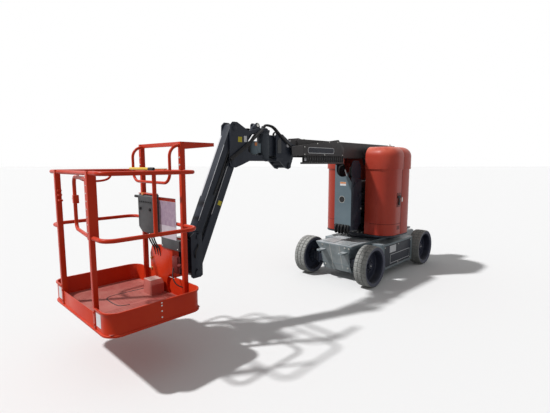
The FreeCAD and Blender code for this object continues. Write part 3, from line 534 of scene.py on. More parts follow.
# Nose and deck: a scratched front plate with weld lines and bolts, pads to step
# on, a bolted cover on the tail, and tie-down eyes worn to bare metal.
nose_worn = finish_of("nose_worn", "chassis_paint", (0.15, 0.18, 0.19), (0.3, 0.33, 0.34), 0.38, bump=0.2,
                      patches=5.0, chips=(0.23, 0.12, 0.07), dust_and_sunlit_top=(0.5, 0.5, 0.5), dust_and_sunlit_from=0.6)
nose_skin = outline_plate([(-0.195, 0.132), (0.205, 0.132), (0.222, 0.396), (0.284, 0.518), (-0.284, 0.518),
                           (-0.222, 0.396)], "X", 0.9638, 0.9655, 0.0008)
fitted(raked(nose_skin), "nose_skin", nose_worn, "chassis")
nose_bolts = bolts([(0.9652, y, z) for y in (-0.19, 0.19) for z in (0.19, 0.495)] + [(0.9652, 0.255, 0.492)],
                   "X", 0.01, 0.007)
fitted(raked(nose_bolts), "nose_bolts", zinc, "chassis")
weld_lines = [block((0.965, y - 0.003, 0.165), (0.9672, y + 0.003, 0.515)) for y in (-0.06, 0.1)]
fitted(raked(together(weld_lines)), "nose_weld_lines", zinc, "chassis")
eye_rings = []
for x in (1.03, -1.03):
    for y in (0.18, -0.18):
        eye_rings.append(lathe([(0.4145, 0.024), (0.414, 0.031), (0.4165, 0.034), (0.4335, 0.034),
                                (0.436, 0.031), (0.4355, 0.024), (0.4145, 0.024)], (x, y, 0), axis="Z",
                               sides=32, closed=False))
fitted(eye_rings, "tie_down_wear_rings", zinc, "chassis")
deck_edges = [block((-0.97, y - 0.004, 0.5285), (0.955, y + 0.004, 0.5315)) for y in (-0.291, 0.291)]
fitted(deck_edges, "deck_weld_lines", zinc, "chassis")
end_pads = [block((x0, y0, 0.53), (x1, y1, 0.536), 0.002) for x0, x1 in ((0.62, 0.9), (-0.93, -0.66))
            for y0, y1 in ((-0.22, -0.03), (0.03, 0.22))]
fitted(end_pads, "deck_tread_pads", nose_worn, "chassis")
tail_box = block((-0.992, -0.16, 0.2), (-0.978, 0.16, 0.36), 0.004, 2)
fitted(tail_box, "tail_cover", dark_enamel, "chassis")
fitted(bolts([(-0.992, y, z) for y in (-0.14, 0.14) for z in (0.22, 0.34)], "X", 0.008, -0.006),
       "tail_cover_bolts", zinc, "chassis")

# Axles and steering: a boxed front beam with kingpin lugs, cast knuckles,
# and a rear beam with drive hubs, all dark enamel with greasy dust.
refined("front_axle", "front_axle_beam", dark_enamel, "chassis", bevel=0.003)
refined("rear_axle", "rear_axle_beam", dark_enamel, "chassis", bevel=0.003)
refined("slew_ring", "slew_ring_race", dark_enamel, "chassis", bevel=0.003)
for mark, body in (("left", "steer_left"), ("right", "steer_right")):
    refined("steering_knuckle_" + mark, "knuckle_casting_" + mark, dark_enamel, body, bevel=0.003)
fitted(bolts(bolt_circle(20, 0.303, 0, 0.5695), "Z", 0.008, 0.006), "slew_ring_bolts", zinc, "chassis")


# Turntable: a thick plate on the slew ring with two upright bulkheads that
# carry the risers, the battery pack on the left and the hydraulics right.
def pin_heads(name, spots, y, radius, body, finish, bolt=0.0065):
    """Round pin ends with a keeper plate and its bolt, on both sides."""
    made = []
    for x, z in spots:
        for side in (1, -1):
            made.append(lathe([(0, radius), (side * 0.0045, radius), (side * 0.006, radius * 0.88)],
                              (x, side * y, z), sides=28))
            low, high = span(side, y, y + 0.005)
            made.append(block((x - radius * 0.4, low, z + radius * 0.75),
                              (x + radius * 0.4, high, z + radius * 1.75)))
            made.append(bolts([(x, side * (y + 0.005), z + radius * 1.38)], "Y", bolt, side * 0.005))
    return fitted(made, name, finish, body, "dark_paint")


cast_paint = finish_of("cast_paint", "cast_block", (0.02, 0.021, 0.022), (0.035, 0.036, 0.038), 0.62,
                       bump=0.5, grain=60.0, patches=6.0, dust_and_sunlit_top=(0.12, 0.12, 0.12))
case_plastic = finish_of("case_plastic", "box_plastic", (0.06, 0.062, 0.066), (0.085, 0.087, 0.09), 0.55,
                         bump=0.3, grain=240.0, patches=6.0, dust_and_sunlit_top=(0.2, 0.2, 0.2))
rubber_hose = finish_of("rubber_hose", "black_plastic", (0.01, 0.01, 0.011), (0.02, 0.02, 0.021), 0.5,
                        bump=0.2, patches=10.0, dust_and_sunlit_top=(0.07, 0.07, 0.07))
refined("turntable_base", "turntable_plate", dark_enamel, "turntable", bevel=0.003)
refined("battery_pack", "battery_case", case_plastic, "turntable", bevel=0.006)
refined("hydraulic_unit", "hydraulic_case", dark_enamel, "turntable", bevel=0.006)
refined("counterweights", "counterweight_castings", cast_paint, "turntable", bevel=0.01, segments=3)
pin_heads("riser_foot_pins", [(-0.48, 0.8), (-0.6, 0.98)], 0.1795, 0.03, "turntable", dark_enamel)
cell_corners = [(-0.235 + 0.125 * i, 0.215 + 0.118 * k) for i in range(4) for k in range(2)]
cells = [block((x, y, 1.2495), (x + 0.11, y + 0.105, 1.262), 0.003) for x, y in cell_corners]
fitted(cells, "battery_lids", black_plastic, "turntable")
leads = [hose([(x, 0.3, 1.262), (x, 0.31, 1.285), (x + 0.06, 0.345, 1.285), (x + 0.06, 0.355, 1.262)], 0.006)
         for x in (-0.18, -0.055, 0.07, 0.195)]
fitted(leads, "battery_leads", rubber_hose, "turntable")
unit_parts = [lathe([(1.1495, 0.04), (1.185, 0.04), (1.192, 0.034)], (0.18, -0.38, 0), axis="Z", sides=28),
              block((-0.16, -0.4, 1.1495), (0.02, -0.26, 1.225), 0.004, 2)]
unit_parts += [lathe([(1.2245, 0.02), (1.275, 0.02), (1.28, 0.012)], (-0.125 + 0.05 * i, -0.33, 0), axis="Z",
                     sides=20) for i in range(3)]
fitted(unit_parts, "valve_block", zinc, "turntable")
well_hoses = [hose([(0.28, y, 0.637), (0.1, y * 1.1, 0.64), (-0.2, y * 0.9, 0.638), (-0.5, y * 1.1, 0.64),
                    (-0.6, y, 0.7)], 0.011) for y in (-0.045, -0.018, 0.012, 0.042)]
fitted(well_hoses, "well_hoses", rubber_hose, "turntable")
tail_bolts = [(-0.6405, side * y, z) for side in (1, -1) for y in (0.215, 0.325) for z in (0.7, 1.07)]
fitted(bolts(tail_bolts, "X", 0.014, -0.01), "counterweight_bolts", zinc, "turntable")
lifting = [lathe([(1.149, 0.022), (1.158, 0.022), (1.164, 0.014)], (-0.54, side * 0.27, 0), axis="Z",
                 sides=24) for side in (1, -1)]
lifting += [hose([(-0.56, side * 0.27, 1.155), (-0.565, side * 0.27, 1.185), (-0.54, side * 0.27, 1.205),
                  (-0.515, side * 0.27, 1.185), (-0.52, side * 0.27, 1.155)], 0.006) for side in (1, -1)]
fitted(lifting, "counterweight_eyes", dark_enamel, "turntable")
fitted(bolts([(0.38, y, 0.62) for y in (-0.11, -0.04, 0.04, 0.11)], "Z", 0.01, 0.007), "turntable_bolts",
       zinc, "turntable")


# Hoods: rotomoulded orange-red shells, the upper storey standing out over the
# lower one. The front part of each is a door; the part behind the seam stays.
# The hood's up-facing tone is a brighter orange: a painted sunlit top on the crown.
hood_skin = finish_of("hood_skin", "hood_plastic", (0.4, 0.04, 0.024), (0.47, 0.062, 0.036), 0.38, bump=0.1,
                      grain=120.0, patches=1.8, dust_and_sunlit_top=(0.72, 0.2, 0.125), dust_and_sunlit_from=0.25)
refined("hood_door_left", "hood_front_left", hood_skin, "left_door", bevel=0.003, angle=28)
refined("hood_door_right", "hood_front_right", hood_skin, "right_door", bevel=0.003, angle=28)
refined("rear_hoods", "hood_rear_pair", hood_skin, "turntable", bevel=0.003, angle=28)
latch_red = finish_of("latch_red", "hood_plastic", (0.13, 0.014, 0.01), (0.17, 0.022, 0.014), 0.45, bump=0.1,
                      patches=9.0)
for side, mark in ((1, "left"), (-1, "right")):
    low, high = span(side, 0.5665, 0.5735)
    # The dark red latch tray is painted shade in the latch recess.
    tray = block((0.105, low, 1.03), (0.235, high, 1.235), 0.003, 2)
    fitted(tray, "latch_tray_" + mark, latch_red, mark + "_door")
    low, high = span(side, 0.573, 0.586)
    lever = [block((0.156, low, 1.065), (0.184, high, 1.165), 0.004, 2),
             block((0.118, low, 1.16), (0.222, high, 1.195), 0.004, 2)]
    boss = lathe([(side * 0.572, 0.026), (side * 0.584, 0.026), (side * 0.588, 0.02)], (0.17, 0, 1.085),
                 sides=24)
    fitted(lever + [boss], "latch_lever_" + mark, black_plastic, mark + "_door")
    low, high = span(side, 0.566, 0.5712)
    drum_seal = block((0.0782, low, 0.64), (0.0818, high, 1.56), 0.0008)
    low, high = span(side, 0.584, 0.5892)
    crown_seal = block((0.0782, low, 1.572), (0.0818, high, 1.745), 0.0008)
    fitted([drum_seal, crown_seal], "door_seal_" + mark, black_plastic, "turntable")
    low, high = span(side, 0.5705, 0.5735)
    bend = [(0.225 + 0.2095 * math.sin(a), side * (0.3595 + 0.2095 * math.cos(a)), 0.788)
            for a in [k * math.pi / 16 for k in range(9)]]
    # The dark red groove band and small recess patch are painted shade in the hood's crease and slot.
    groove = hose([(0.09, side * 0.569, 0.788), (0.15, side * 0.569, 0.788)] + bend
                  + [(0.4345, side * 0.26, 0.788)], 0.0055)
    edge_low, edge_high = span(side, 0.569, 0.5728)
    crown_low, crown_high = span(side, 0.586, 0.5908)
    edge_lines = [block((0.083, edge_low, 0.64), (0.0915, edge_high, 1.562), 0.0008),
                  block((0.083, crown_low, 1.574), (0.0915, crown_high, 1.745), 0.0008)]
    recess = block((0.12, low, 0.7), (0.205, high, 0.755))
    fitted([groove, recess] + edge_lines, "door_marks_" + mark, latch_red, mark + "_door")
    keeper = block((0.045, low, 1.1), (0.074, high, 1.16))
    fitted(keeper, "latch_keeper_" + mark, zinc, "turntable")
    eye = lathe([(1.887, 0.026), (1.894, 0.026), (1.898, 0.018)], (-0.2, side * 0.215, 0), axis="Z", sides=24)
    loop = hose([(-0.222, side * 0.215, 1.89), (-0.226, side * 0.215, 1.925), (-0.2, side * 0.215, 1.952),
                 (-0.174, side * 0.215, 1.925), (-0.178, side * 0.215, 1.89)], 0.006)
    fitted([eye, loop], "hood_eye_" + mark, zinc, "turntable")


# Risers: two pairs of box arms between the turntable, the middle upright
# behind the tower plate, and the top upright that carries the boom.
boom_enamel = finish_of("boom_enamel", "boom_paint", (0.04, 0.037, 0.039), (0.066, 0.061, 0.061), 0.4,
                        bump=0.1, dust_and_sunlit_top=(0.17, 0.16, 0.155), dust_and_sunlit_from=0.75, patches=2.5,
                        chips=(0.11, 0.1, 0.1))
tower_enamel = finish_of("tower_enamel", "tower_paint", (0.105, 0.146, 0.172), (0.145, 0.19, 0.216), 0.36,
                         bump=0.1, dust_and_sunlit_top=(0.26, 0.27, 0.28), dust_and_sunlit_from=0.8, patches=3.0)
label_orange = finish_of("label_orange", None, (0.6, 0.2, 0.06), (0.68, 0.26, 0.09), 0.4, bump=0.03,
                         patches=14.0)
for node in ("lower_riser_arm", "lower_riser_link", "upper_riser_arm", "upper_riser_link"):
    refined(node, node.replace("riser", "box"), boom_enamel, node, bevel=0.005, segments=3)
# The tower weldment's dark enamel on its sides is painted shade; its front gets a pale sheet below.
refined("mid_upright", "tower_weldment", dark_enamel, "mid_upright", bevel=0.003)
refined("top_upright", "boom_foot_weldment", dark_enamel, "top_upright", bevel=0.003)
pin_heads("tower_pins", [(0.66, 0.8), (0.54, 0.98), (0.54, 1.16), (0.66, 1.34)], 0.1478, 0.027, "mid_upright",
          dark_enamel)
pin_heads("boom_foot_pins", [(-0.6, 1.16), (-0.48, 1.34)], 0.1178, 0.027, "top_upright", dark_enamel)
pin_heads("boom_pivot_pin", [(-0.58, 1.8)], 0.1198, 0.032, "top_upright", dark_enamel)
bright_rod = finish_of("bright_rod", "bright_rod", (0.6, 0.6, 0.61), (0.68, 0.68, 0.69), 0.16, bump=0.02,
                       metallic=1.0)
for label in ("riser", "boom", "jib"):
    barrel, rod = label + "_cylinder_barrel", label + "_cylinder_rod"
    refined(barrel, label + "_ram_barrel", dark_enamel, barrel, bevel=0.0015)
    refined(rod, label + "_ram_rod", bright_rod, rod, bevel=0.0015)

# The tower's face: pale grey-blue sheet over the dark weldment, notched for
# the hoses at the top, with a round hole and a small blank label. The
# weldment's dark sides are painted shade.
face_sheet = outline_plate([(-0.138, 0.768), (0.138, 0.768), (0.138, 1.389), (0.0795, 1.473), (0.0795, 1.5)]
                           + [(-0.015 + 0.099 * math.cos(a), 1.56 + 0.099 * math.sin(a))
                              for a in [-0.3 - k * (math.pi - 0.3) / 13 for k in range(14)]]
                           + [(-0.114, 1.629), (-0.138, 1.629)], "X", 0.7398, 0.7412, 0.0004)
fitted(face_sheet, "tower_face", tower_enamel, "mid_upright")
hole_centre = (0, -0.015, 1.14)
hole_rim = lathe([(0.7395, 0.05), (0.7425, 0.05), (0.7425, 0.045), (0.7395, 0.045)], hole_centre, axis="X",
                 sides=40, closed=False)
fitted(hole_rim, "tower_hole_rim", zinc, "mid_upright")
hole = lathe([(0.7395, 0.045), (0.742, 0.045)], hole_centre, axis="X", sides=40)
fitted(hole, "tower_hole", black_plastic, "mid_upright")
# Dark side tops carry the tower's painted shade up its sides.
side_tops = [outline_plate([(0.5, 1.44), (0.716, 1.44), (0.738, 1.5), (0.738, 1.64), (0.705, 1.69),
                            (0.56, 1.69), (0.5, 1.6)], "Y", *span(side, 0.13, 0.1395), 0.001)
             for side in (1, -1)]
fitted(side_tops, "tower_side_tops", dark_enamel, "mid_upright")
fitted(block((0.7405, -0.05, 1.338), (0.742, 0.05, 1.39), 0.0004), "tower_label", blank_plate, "mid_upright")
fitted(block((0.7412, -0.048, 1.366), (0.7426, 0.048, 1.388), 0.0004), "tower_label_band", label_orange,
       "mid_upright")
# Pale hooked tube at the notch; its pale tone is a painted highlight.
hook = hose([(0.735, 0.06, 1.47), (0.752, 0.058, 1.5), (0.757, 0.045, 1.54), (0.748, 0.03, 1.565),
             (0.735, 0.026, 1.56)], 0.006)
fitted(hook, "tower_hose_hook", blank_plate, "mid_upright")
fitted(bolts([(0.477, 0.1398, 0.997)], "Y", 0.012, 0.008), "tower_side_bolt", zinc, "mid_upright")
hose_bends = [(-0.112, 0.004, 0.012, 0.004), (-0.088, 0.02, -0.01, 0.01), (-0.06, 0.002, 0.016, 0.0),
              (-0.034, 0.024, -0.006, 0.012), (-0.008, 0.008, 0.01, 0.002), (0.02, 0.018, -0.014, 0.012),
              (0.05, 0.0, 0.01, 0.004), (0.078, 0.022, -0.012, 0.008), (0.108, 0.006, -0.006, 0.0)]
foot_hoses = [hose([(0.738, y, 0.772), (0.752 + reach, y, 0.768), (0.762 + reach, y + lean, 0.716 - drop),
                    (0.748 + reach, y + lean, 0.664 - drop), (0.732, y, 0.672 - drop), (0.727, y, 0.745)],
                   0.0115) for y, reach, lean, drop in hose_bends]
fitted(foot_hoses, "tower_foot_hoses", rubber_hose, "mid_upright")
# Black hoses packed into the notch; they also darken it as painted shade.
notch_hoses = [hose([(0.6, y, 1.4), (0.66, y, 1.45), (0.71, y, 1.48), (0.716, y, 1.55), (0.7, y, 1.61),
                     (0.6, y, 1.625)], 0.011) for y in (-0.115, -0.092, 0.092, 0.115)]
notch_hoses += [hose([(0.6, y, 1.42), (0.675, y, 1.46), (0.685, y, 1.55), (0.665, y, 1.6), (0.58, y, 1.61)],
                     0.011) for y in (-0.104, 0.104)]
fitted(notch_hoses, "tower_notch_hoses", rubber_hose, "mid_upright")
foot_loops = [hose([(-0.64, y, 1.43), (-0.665, y, 1.52), (-0.66, y, 1.64), (-0.64, y, 1.7)], 0.011)
              for y in (-0.06, -0.025, 0.01, 0.045)]
fitted(foot_loops, "boom_foot_hoses", rubber_hose, "top_upright")


# Boom: a square tube with a smaller one sliding in it, a tray along its left
# side for the hoses, and a hose chain that pays out of the tray.
def ring_plate(points, across, low, high, width):
    """Flat ring that follows an outline."""
    form = outline_plate(points, across, low, high, 0)
    bpy.ops.object.mode_set(mode="EDIT")
    bpy.ops.mesh.select_mode(type="FACE")
    bpy.ops.mesh.select_all(action="DESELECT")
    leave()
    caps = sorted(form.data.polygons, key=lambda face: -len(face.vertices))[:2]
    for cap in caps:
        cap.select = True
    bpy.ops.object.mode_set(mode="EDIT")
    bpy.ops.mesh.inset(use_individual=True, thickness=width)
    bpy.ops.mesh.bridge_edge_loops()
    leave()
    return settle(form)


refined("main_boom", "boom_tube", boom_enamel, "main_boom", bevel=0.006, segments=3)
refined("fly_boom", "fly_tube", boom_enamel, "fly_boom", bevel=0.004, segments=3)
refined("side_tray", "hose_tray", boom_enamel, "main_boom", bevel=0.0015)
refined("power_track", "hose_chain", black_plastic, "main_boom", bevel=0.001)
mouth = [block((1.796, -0.0815, 1.9385), (1.832, 0.074, 1.948)),
         block((1.796, -0.0765, 1.7235), (1.832, 0.074, 1.7265)),
         block((1.796, -0.0765, 1.7235), (1.832, -0.0735, 1.948))]
fitted(mouth, "boom_mouth_band", boom_enamel, "main_boom")
pads = [(x, -0.075, z) for x in (1.68, 1.75) for z in (1.765, 1.9)]
fitted(bolts(pads, "Y", 0.008, -0.006), "wear_pad_bolts_side", zinc, "main_boom")
fitted(bolts([(x, y, 1.94) for x in (1.68, 1.75) for y in (-0.045, 0.045)], "Z", 0.008, 0.006),
       "wear_pad_bolts_top", zinc, "main_boom")
rounded, corner_radius = [], 0.03
for cx, cz, start in ((1.704, 1.816, 0), (1.226, 1.816, 90), (1.226, 1.803, 180), (1.704, 1.803, 270)):
    angles = [math.radians(start + k * 18) for k in range(6)]
    rounded += [(cx + corner_radius * math.cos(a), cz + corner_radius * math.sin(a)) for a in angles]
fitted(ring_plate(rounded, "Y", 0.15, 0.1512, 0.006), "tray_panel_edge", blank_plate, "main_boom")
fitted(outline_plate(rounded, "Y", 0.1496, 0.1504, 0), "tray_panel_blank", dark_enamel, "main_boom", slot="")
link_pins = [(1.007 + 0.048 * k, 0.143, 1.706) for k in range(17)]
fitted(bolts(link_pins, "Y", 0.0085, 0.003, sides=12, washer=False), "chain_link_pins", case_plastic,
       "main_boom")
tray_screws = [(x, 0.15, z) for x, z in ((1.795, 1.76), (1.795, 1.845), (1.55, 1.893), (1.3, 1.92),
                                         (1.115, 1.925), (1.0, 1.76), (1.4, 1.757))]
fitted(bolts(tray_screws, "Y", 0.006, 0.004), "tray_screws", zinc, "main_boom")
cover_side = outline_plate([(1.8255, 1.747), (2.0, 1.742), (2.022, 1.762), (2.028, 1.84), (1.8255, 1.866)],
                           "Y", 0.146, 0.15, 0.001)
cover_foot = block((1.8255, 0.128, 1.742), (1.99, 0.147, 1.746), 0.0008)
cover_top = outline_plate([(1.8255, 1.8625), (2.027, 1.8365), (2.027, 1.8405), (1.8255, 1.8665)], "Y", 0.128,
                          0.147, 0.0006)
fitted([cover_side, cover_foot, cover_top], "tray_front_cover", boom_enamel, "main_boom")
fitted(block((1.758, 0.1432, 1.684), (1.79, 0.1448, 1.716), 0.0004), "tray_small_blank", blank_plate,
       "main_boom")
lines = [hose([(-0.52, -0.082, z), (0.2, -0.083, z), (1.0, -0.083, z), (1.66, -0.082, z)], 0.0065)
         for z in (1.865, 1.882)]
clamps = [block((x, -0.092, 1.853), (x + 0.03, -0.074, 1.894), 0.002) for x in (-0.45, 0.05, 0.6, 1.15, 1.6)]
fitted(lines, "boom_hard_lines", bright_rod, "main_boom")
fitted(clamps, "boom_line_clamps", black_plastic, "main_boom")
fitted(ring_plate([(-0.0735, 1.7265), (0.0735, 1.7265), (0.0735, 1.9385), (-0.0735, 1.9385)], "X", -0.658,
                  -0.6545, 0.012), "boom_tail_band", boom_enamel, "main_boom")
tail_hoses = [hose([(-0.652, y, 1.86), (-0.675, y, 1.835), (-0.68, y, 1.8), (-0.668, y, 1.775)], 0.01)
              for y in (-0.04, -0.013, 0.014, 0.041)]
fitted(tail_hoses, "boom_tail_hoses", rubber_hose, "main_boom")

# Boom tip: cheek plates round the fly tube's nose, stepped blocks under them,
# and the actuator that turns the jib, with its fittings and hoses on top.
refined("tip_knuckle", "tip_weldment", dark_enamel, "tip_knuckle", bevel=0.003)
turner_enamel = finish_of("turner_enamel", "tower_paint", (0.03, 0.037, 0.047), (0.05, 0.06, 0.073), 0.42,
                          bump=0.1, patches=4.0)
refined("jib_actuator", "jib_turner", turner_enamel, "tip_knuckle", bevel=0.004)
pin_heads("tip_pins", [(1.94, 1.815)], 0.1038, 0.03, "tip_knuckle", dark_enamel)
pin_heads("level_pin", [(2.015, 1.62)], 0.1028, 0.024, "tip_knuckle", dark_enamel, 0.005)
plug = [lathe([(side * 0.0945, 0.024), (side * 0.0985, 0.024), (side * 0.1, 0.02)], (2.03, 0, 1.858),
              sides=28) for side in (1, -1)]
fitted(plug, "tip_plugs", blank_plate, "tip_knuckle")
under = [block((2.105, -0.096, 1.674), (2.222, 0.096, 1.712), 0.004),
         block((2.03, -0.097, 1.632), (2.11, 0.097, 1.678), 0.004)]
fitted(under, "tip_under_blocks", dark_enamel, "tip_knuckle")
gussets = [outline_plate([(2.145, 1.765), (2.205, 1.765), (2.205, 1.905), (2.165, 1.94), (2.145, 1.9)], "Y",
                         *span(side, 0.0945, 0.1005), 0.001) for side in (1, -1)]
fitted(gussets, "tip_gussets", case_plastic, "tip_knuckle")
turner_x = 2.33
top_cap = lathe([(2.0115, 0.052), (2.026, 0.052), (2.034, 0.04), (2.036, 0.022)], (turner_x, 0, 0), axis="Z",
                sides=32)
fitted(top_cap, "turner_cap", dark_enamel, "tip_knuckle")
fitted(bolts(bolt_circle(6, 0.04, turner_x, 2.0265), "Z", 0.005, 0.004), "turner_cap_bolts", zinc,
       "tip_knuckle")
strap = [hose([(2.34, y * 0.25, 2.03), (2.348, y * 0.35, 2.06), (2.3, y * 0.45, 2.066),
               (2.235, y * 0.7, 2.048), (2.185, y, 1.975), (2.125, y, 1.93), (2.07, y, 1.893),
               (2.0, y, 1.85)], 0.0125) for y in (0.106, 0.08)]
strap.append(hose([(2.325, -0.02, 2.03), (2.32, -0.035, 2.056), (2.27, -0.05, 2.052), (2.22, -0.09, 2.01),
                   (2.16, -0.108, 1.93), (2.01, -0.108, 1.85)], 0.01))
fitted(strap, "tip_hose_bundle", rubber_hose, "tip_knuckle")
loops = [hose([(2.175, y, 1.945), (2.19, y + 0.008, 1.985), (2.22, y + 0.012, 1.996),
               (2.245, y + 0.004, 1.978), (2.24, y, 1.95)], 0.006) for y in (0.058, 0.074)]
fitted(loops, "tip_small_loops", case_plastic, "tip_knuckle")
hanging = hose([(2.04, 0.095, 1.65), (2.034, 0.099, 1.625), (2.03, 0.098, 1.605), (2.03, 0.096, 1.588)],
               0.006)
fitted(hanging, "tip_loose_hose", rubber_hose, "tip_knuckle")


# Jib: two parallel box arms from the turning base down to the platform's
# support, near-black enamel with painted highlights along the edges and front.
cheek = [(2.412, 1.968), (2.412, 2.012), (2.5, 2.012), (2.61, 1.985), (2.72, 2.04), (2.765, 2.062),
         (2.82, 2.062), (2.852, 2.03), (2.872, 1.68), (2.856, 1.622), (2.79, 1.61), (2.7, 1.64), (2.6, 1.678),
         (2.412, 1.678), (2.412, 1.738), (2.57, 1.742), (2.618, 1.775), (2.63, 1.88), (2.6, 1.94),
         (2.53, 1.966)]
base_parts = [outline_plate(cheek, "Y", *span(side, 0.06, 0.075), 0.0015) for side in (1, -1)]
base_parts += [block((2.412, -0.0745, z0), (2.432, 0.0745, z1), 0.002)
               for z0, z1 in ((1.678, 1.74), (1.966, 2.012))]
for z0, z1 in ((1.678, 1.6995), (1.9905, 2.012)):
    base_parts.append(lathe([(z0, 0.0715), (z1, 0.0715)], (turner_x, 0, 0), axis="Z", sides=40))
    base_parts.append(block((turner_x, -0.06, z0), (2.413, 0.06, z1), 0.0015))
for side in (1, -1):
    base_parts.append(outline_plate([(2.412, 2.011), (2.425, 2.062), (2.443, 2.079), (2.467, 2.079),
                                     (2.485, 2.062), (2.489, 2.011)], "Y", *span(side, 0.029, 0.041), 0.001))
base_parts += [block((2.412, low, 2.011), (2.489, high, 2.02))
               for low, high in ((0.03, 0.074), (-0.074, -0.03))]
fitted(base_parts, "jib_base_weldment", dark_enamel, "jib_base", stands_for=["jib_base"])
upper_pivot, lower_pivot = (2.8, 2.0), (2.82, 1.66)
pin_heads("jib_base_pins", [upper_pivot, lower_pivot], 0.0748, 0.026, "jib_base", dark_enamel)
pin_heads("jib_ram_pin", [(2.455, 2.052)], 0.0408, 0.016, "jib_base", zinc, 0.004)
motor_x = 2.492
casing = lathe([(1.742, 0.046), (1.752, 0.058), (1.872, 0.058), (1.886, 0.048)], (motor_x, 0, 0), axis="Z",
               sides=40)
casing_arm = block((2.405, -0.04, 1.765), (2.47, 0.04, 1.865), 0.004, 2)
fitted([casing, casing_arm], "turner_motor", tower_enamel, "jib_base")
fitted(block((2.478, 0.057, 1.838), (2.512, 0.0588, 1.872), 0.0004), "motor_label", label_orange, "jib_base")
fitted(bolts(bolt_circle(8, 0.048, motor_x, 1.7435), "Z", 0.005, -0.005), "motor_bolts", zinc, "jib_base")
label_yellow = finish_of("label_yellow", None, (0.5, 0.42, 0.03), (0.58, 0.5, 0.05), 0.4, bump=0.03,
                         patches=14.0)
fitted(block((2.705, 0.0748, 1.866), (2.757, 0.076, 1.918), 0.0004), "jib_yellow_patch", label_yellow,
       "jib_base")
fitted(block((2.64, 0.0748, 1.868), (2.678, 0.076, 1.93), 0.0004), "jib_small_blank", blank_plate, "jib_base")
base_hoses = [hose([(2.44, y, 2.0), (2.52, y * 1.3, 2.03), (2.6, y * 1.4, 1.985), (2.66, y, 1.9),
                    (2.69, y * 0.8, 1.8)], 0.007) for y in (-0.05, -0.036)]
base_hoses += [hose([(2.44, y, 1.978), (2.5, y, 1.958 - low), (2.548, y, 1.918 - low), (2.574, y, 1.862),
                     (2.584, y, 1.8), (2.576, y, 1.744)], 0.0062)
               for y, low in ((-0.052, 0.0), (-0.039, 0.014), (0.039, 0.01), (0.052, -0.004))]
fitted(base_hoses, "jib_base_hoses", rubber_hose, "jib_base")
side_hoses = [hose([(2.425, y - 0.012, 2.004), (2.47, y, 1.975 + rise), (2.547, y, 1.918 + rise),
                    (2.663, y, 1.823 + rise), (2.764, y, 1.757 + rise), (2.835, y, 1.712 + rise),
                    (2.868, y - 0.006, 1.69 + rise)], 0.0105)
              for y, rise in ((0.087, -0.012), (0.089, 0.01), (0.101, 0.0))]
fitted(side_hoses, "jib_side_hoses", rubber_hose, "jib_base")

refined("jib_upper_arm", "jib_top_box", dark_enamel, "jib_upper_arm", bevel=0.006, segments=3)
refined("jib_lower_arm", "jib_bottom_box", dark_enamel, "jib_lower_arm", bevel=0.005, segments=3)
arm_angle = math.radians(-66)


def along_arm(pivot, run, out):
    """The place (x, z) so far down the arm from its pivot, and so far out in front of its middle."""
    cos, sin = math.cos(arm_angle), math.sin(arm_angle)
    return pivot[0] + run * cos - out * sin, pivot[1] + run * sin + out * cos


def arm_strip(pivot, run0, run1, out0, out1, low, high):
    """Thin strip along the arm between two runs, two distances out, and two places across."""
    corners = [along_arm(pivot, run0, out0), along_arm(pivot, run1, out0), along_arm(pivot, run1, out1),
               along_arm(pivot, run0, out1)]
    return outline_plate(corners, "Y", low, high, 0.0006)


# Pale strips along the arms' front and edges are painted highlights.
painted_edge_highlight = finish_of("painted_edge_highlight", None, (0.5, 0.52, 0.55), (0.66, 0.68, 0.7), 0.35, bump=0.2, patches=30.0,
                      chips=(0.05, 0.06, 0.08))
fitted(arm_strip(upper_pivot, 0.1, 0.74, 0.0412, 0.0428, -0.053, -0.033), "jib_front_painted_highlight", blank_plate,
       "jib_upper_arm")
fitted(arm_strip(upper_pivot, 0.2, 0.98, 0.0385, 0.0424, 0.0515, 0.0553), "jib_upper_painted_highlight", painted_edge_highlight,
       "jib_upper_arm")
fitted(arm_strip(lower_pivot, 0.06, 0.56, 0.0375, 0.0426, 0.0505, 0.0555), "jib_lower_painted_highlight", painted_edge_highlight,
       "jib_lower_arm")
fitted(arm_strip(lower_pivot, 0.405, 0.45, -0.03, 0.012, 0.0548, 0.056), "arm_yellow_patch", label_yellow,
       "jib_lower_arm")
hose_places = ((0.1, -0.03), (0.3, -0.034), (0.55, -0.032), (0.7, -0.026))
hose_line = [along_arm(upper_pivot, run, out) for run, out in hose_places]
arm_hoses = [hose([(x, y, z) for x, z in hose_line], 0.007) for y in (0.06, -0.06)]
fitted(arm_hoses, "jib_arm_hoses", rubber_hose, "jib_upper_arm")
refined("platform_support", "platform_turner", dark_enamel, "platform_support", bevel=0.003)
pin_heads("jib_end_pins", [(3.2584, 0.9704), (3.2784, 0.6304)], 0.0828, 0.026, "platform_support",
          dark_enamel)
rotator_cap = lathe([(0.9765, 0.046), (0.9825, 0.046), (0.9845, 0.036)], (3.388, 0, 0), axis="Z", sides=32)
fitted(rotator_cap, "rotator_cap", zinc, "platform")
end_loops = [hose([(3.262, side * 0.08, 0.9), (3.27, side * 0.09, 0.88), (3.3, side * 0.096, 0.85),
                   (3.306, side * 0.092, 0.81), (3.296, side * 0.08, 0.78)], 0.007) for side in (1, -1)]
fitted(end_loops, "rotator_hose_loops", rubber_hose, "platform_support")


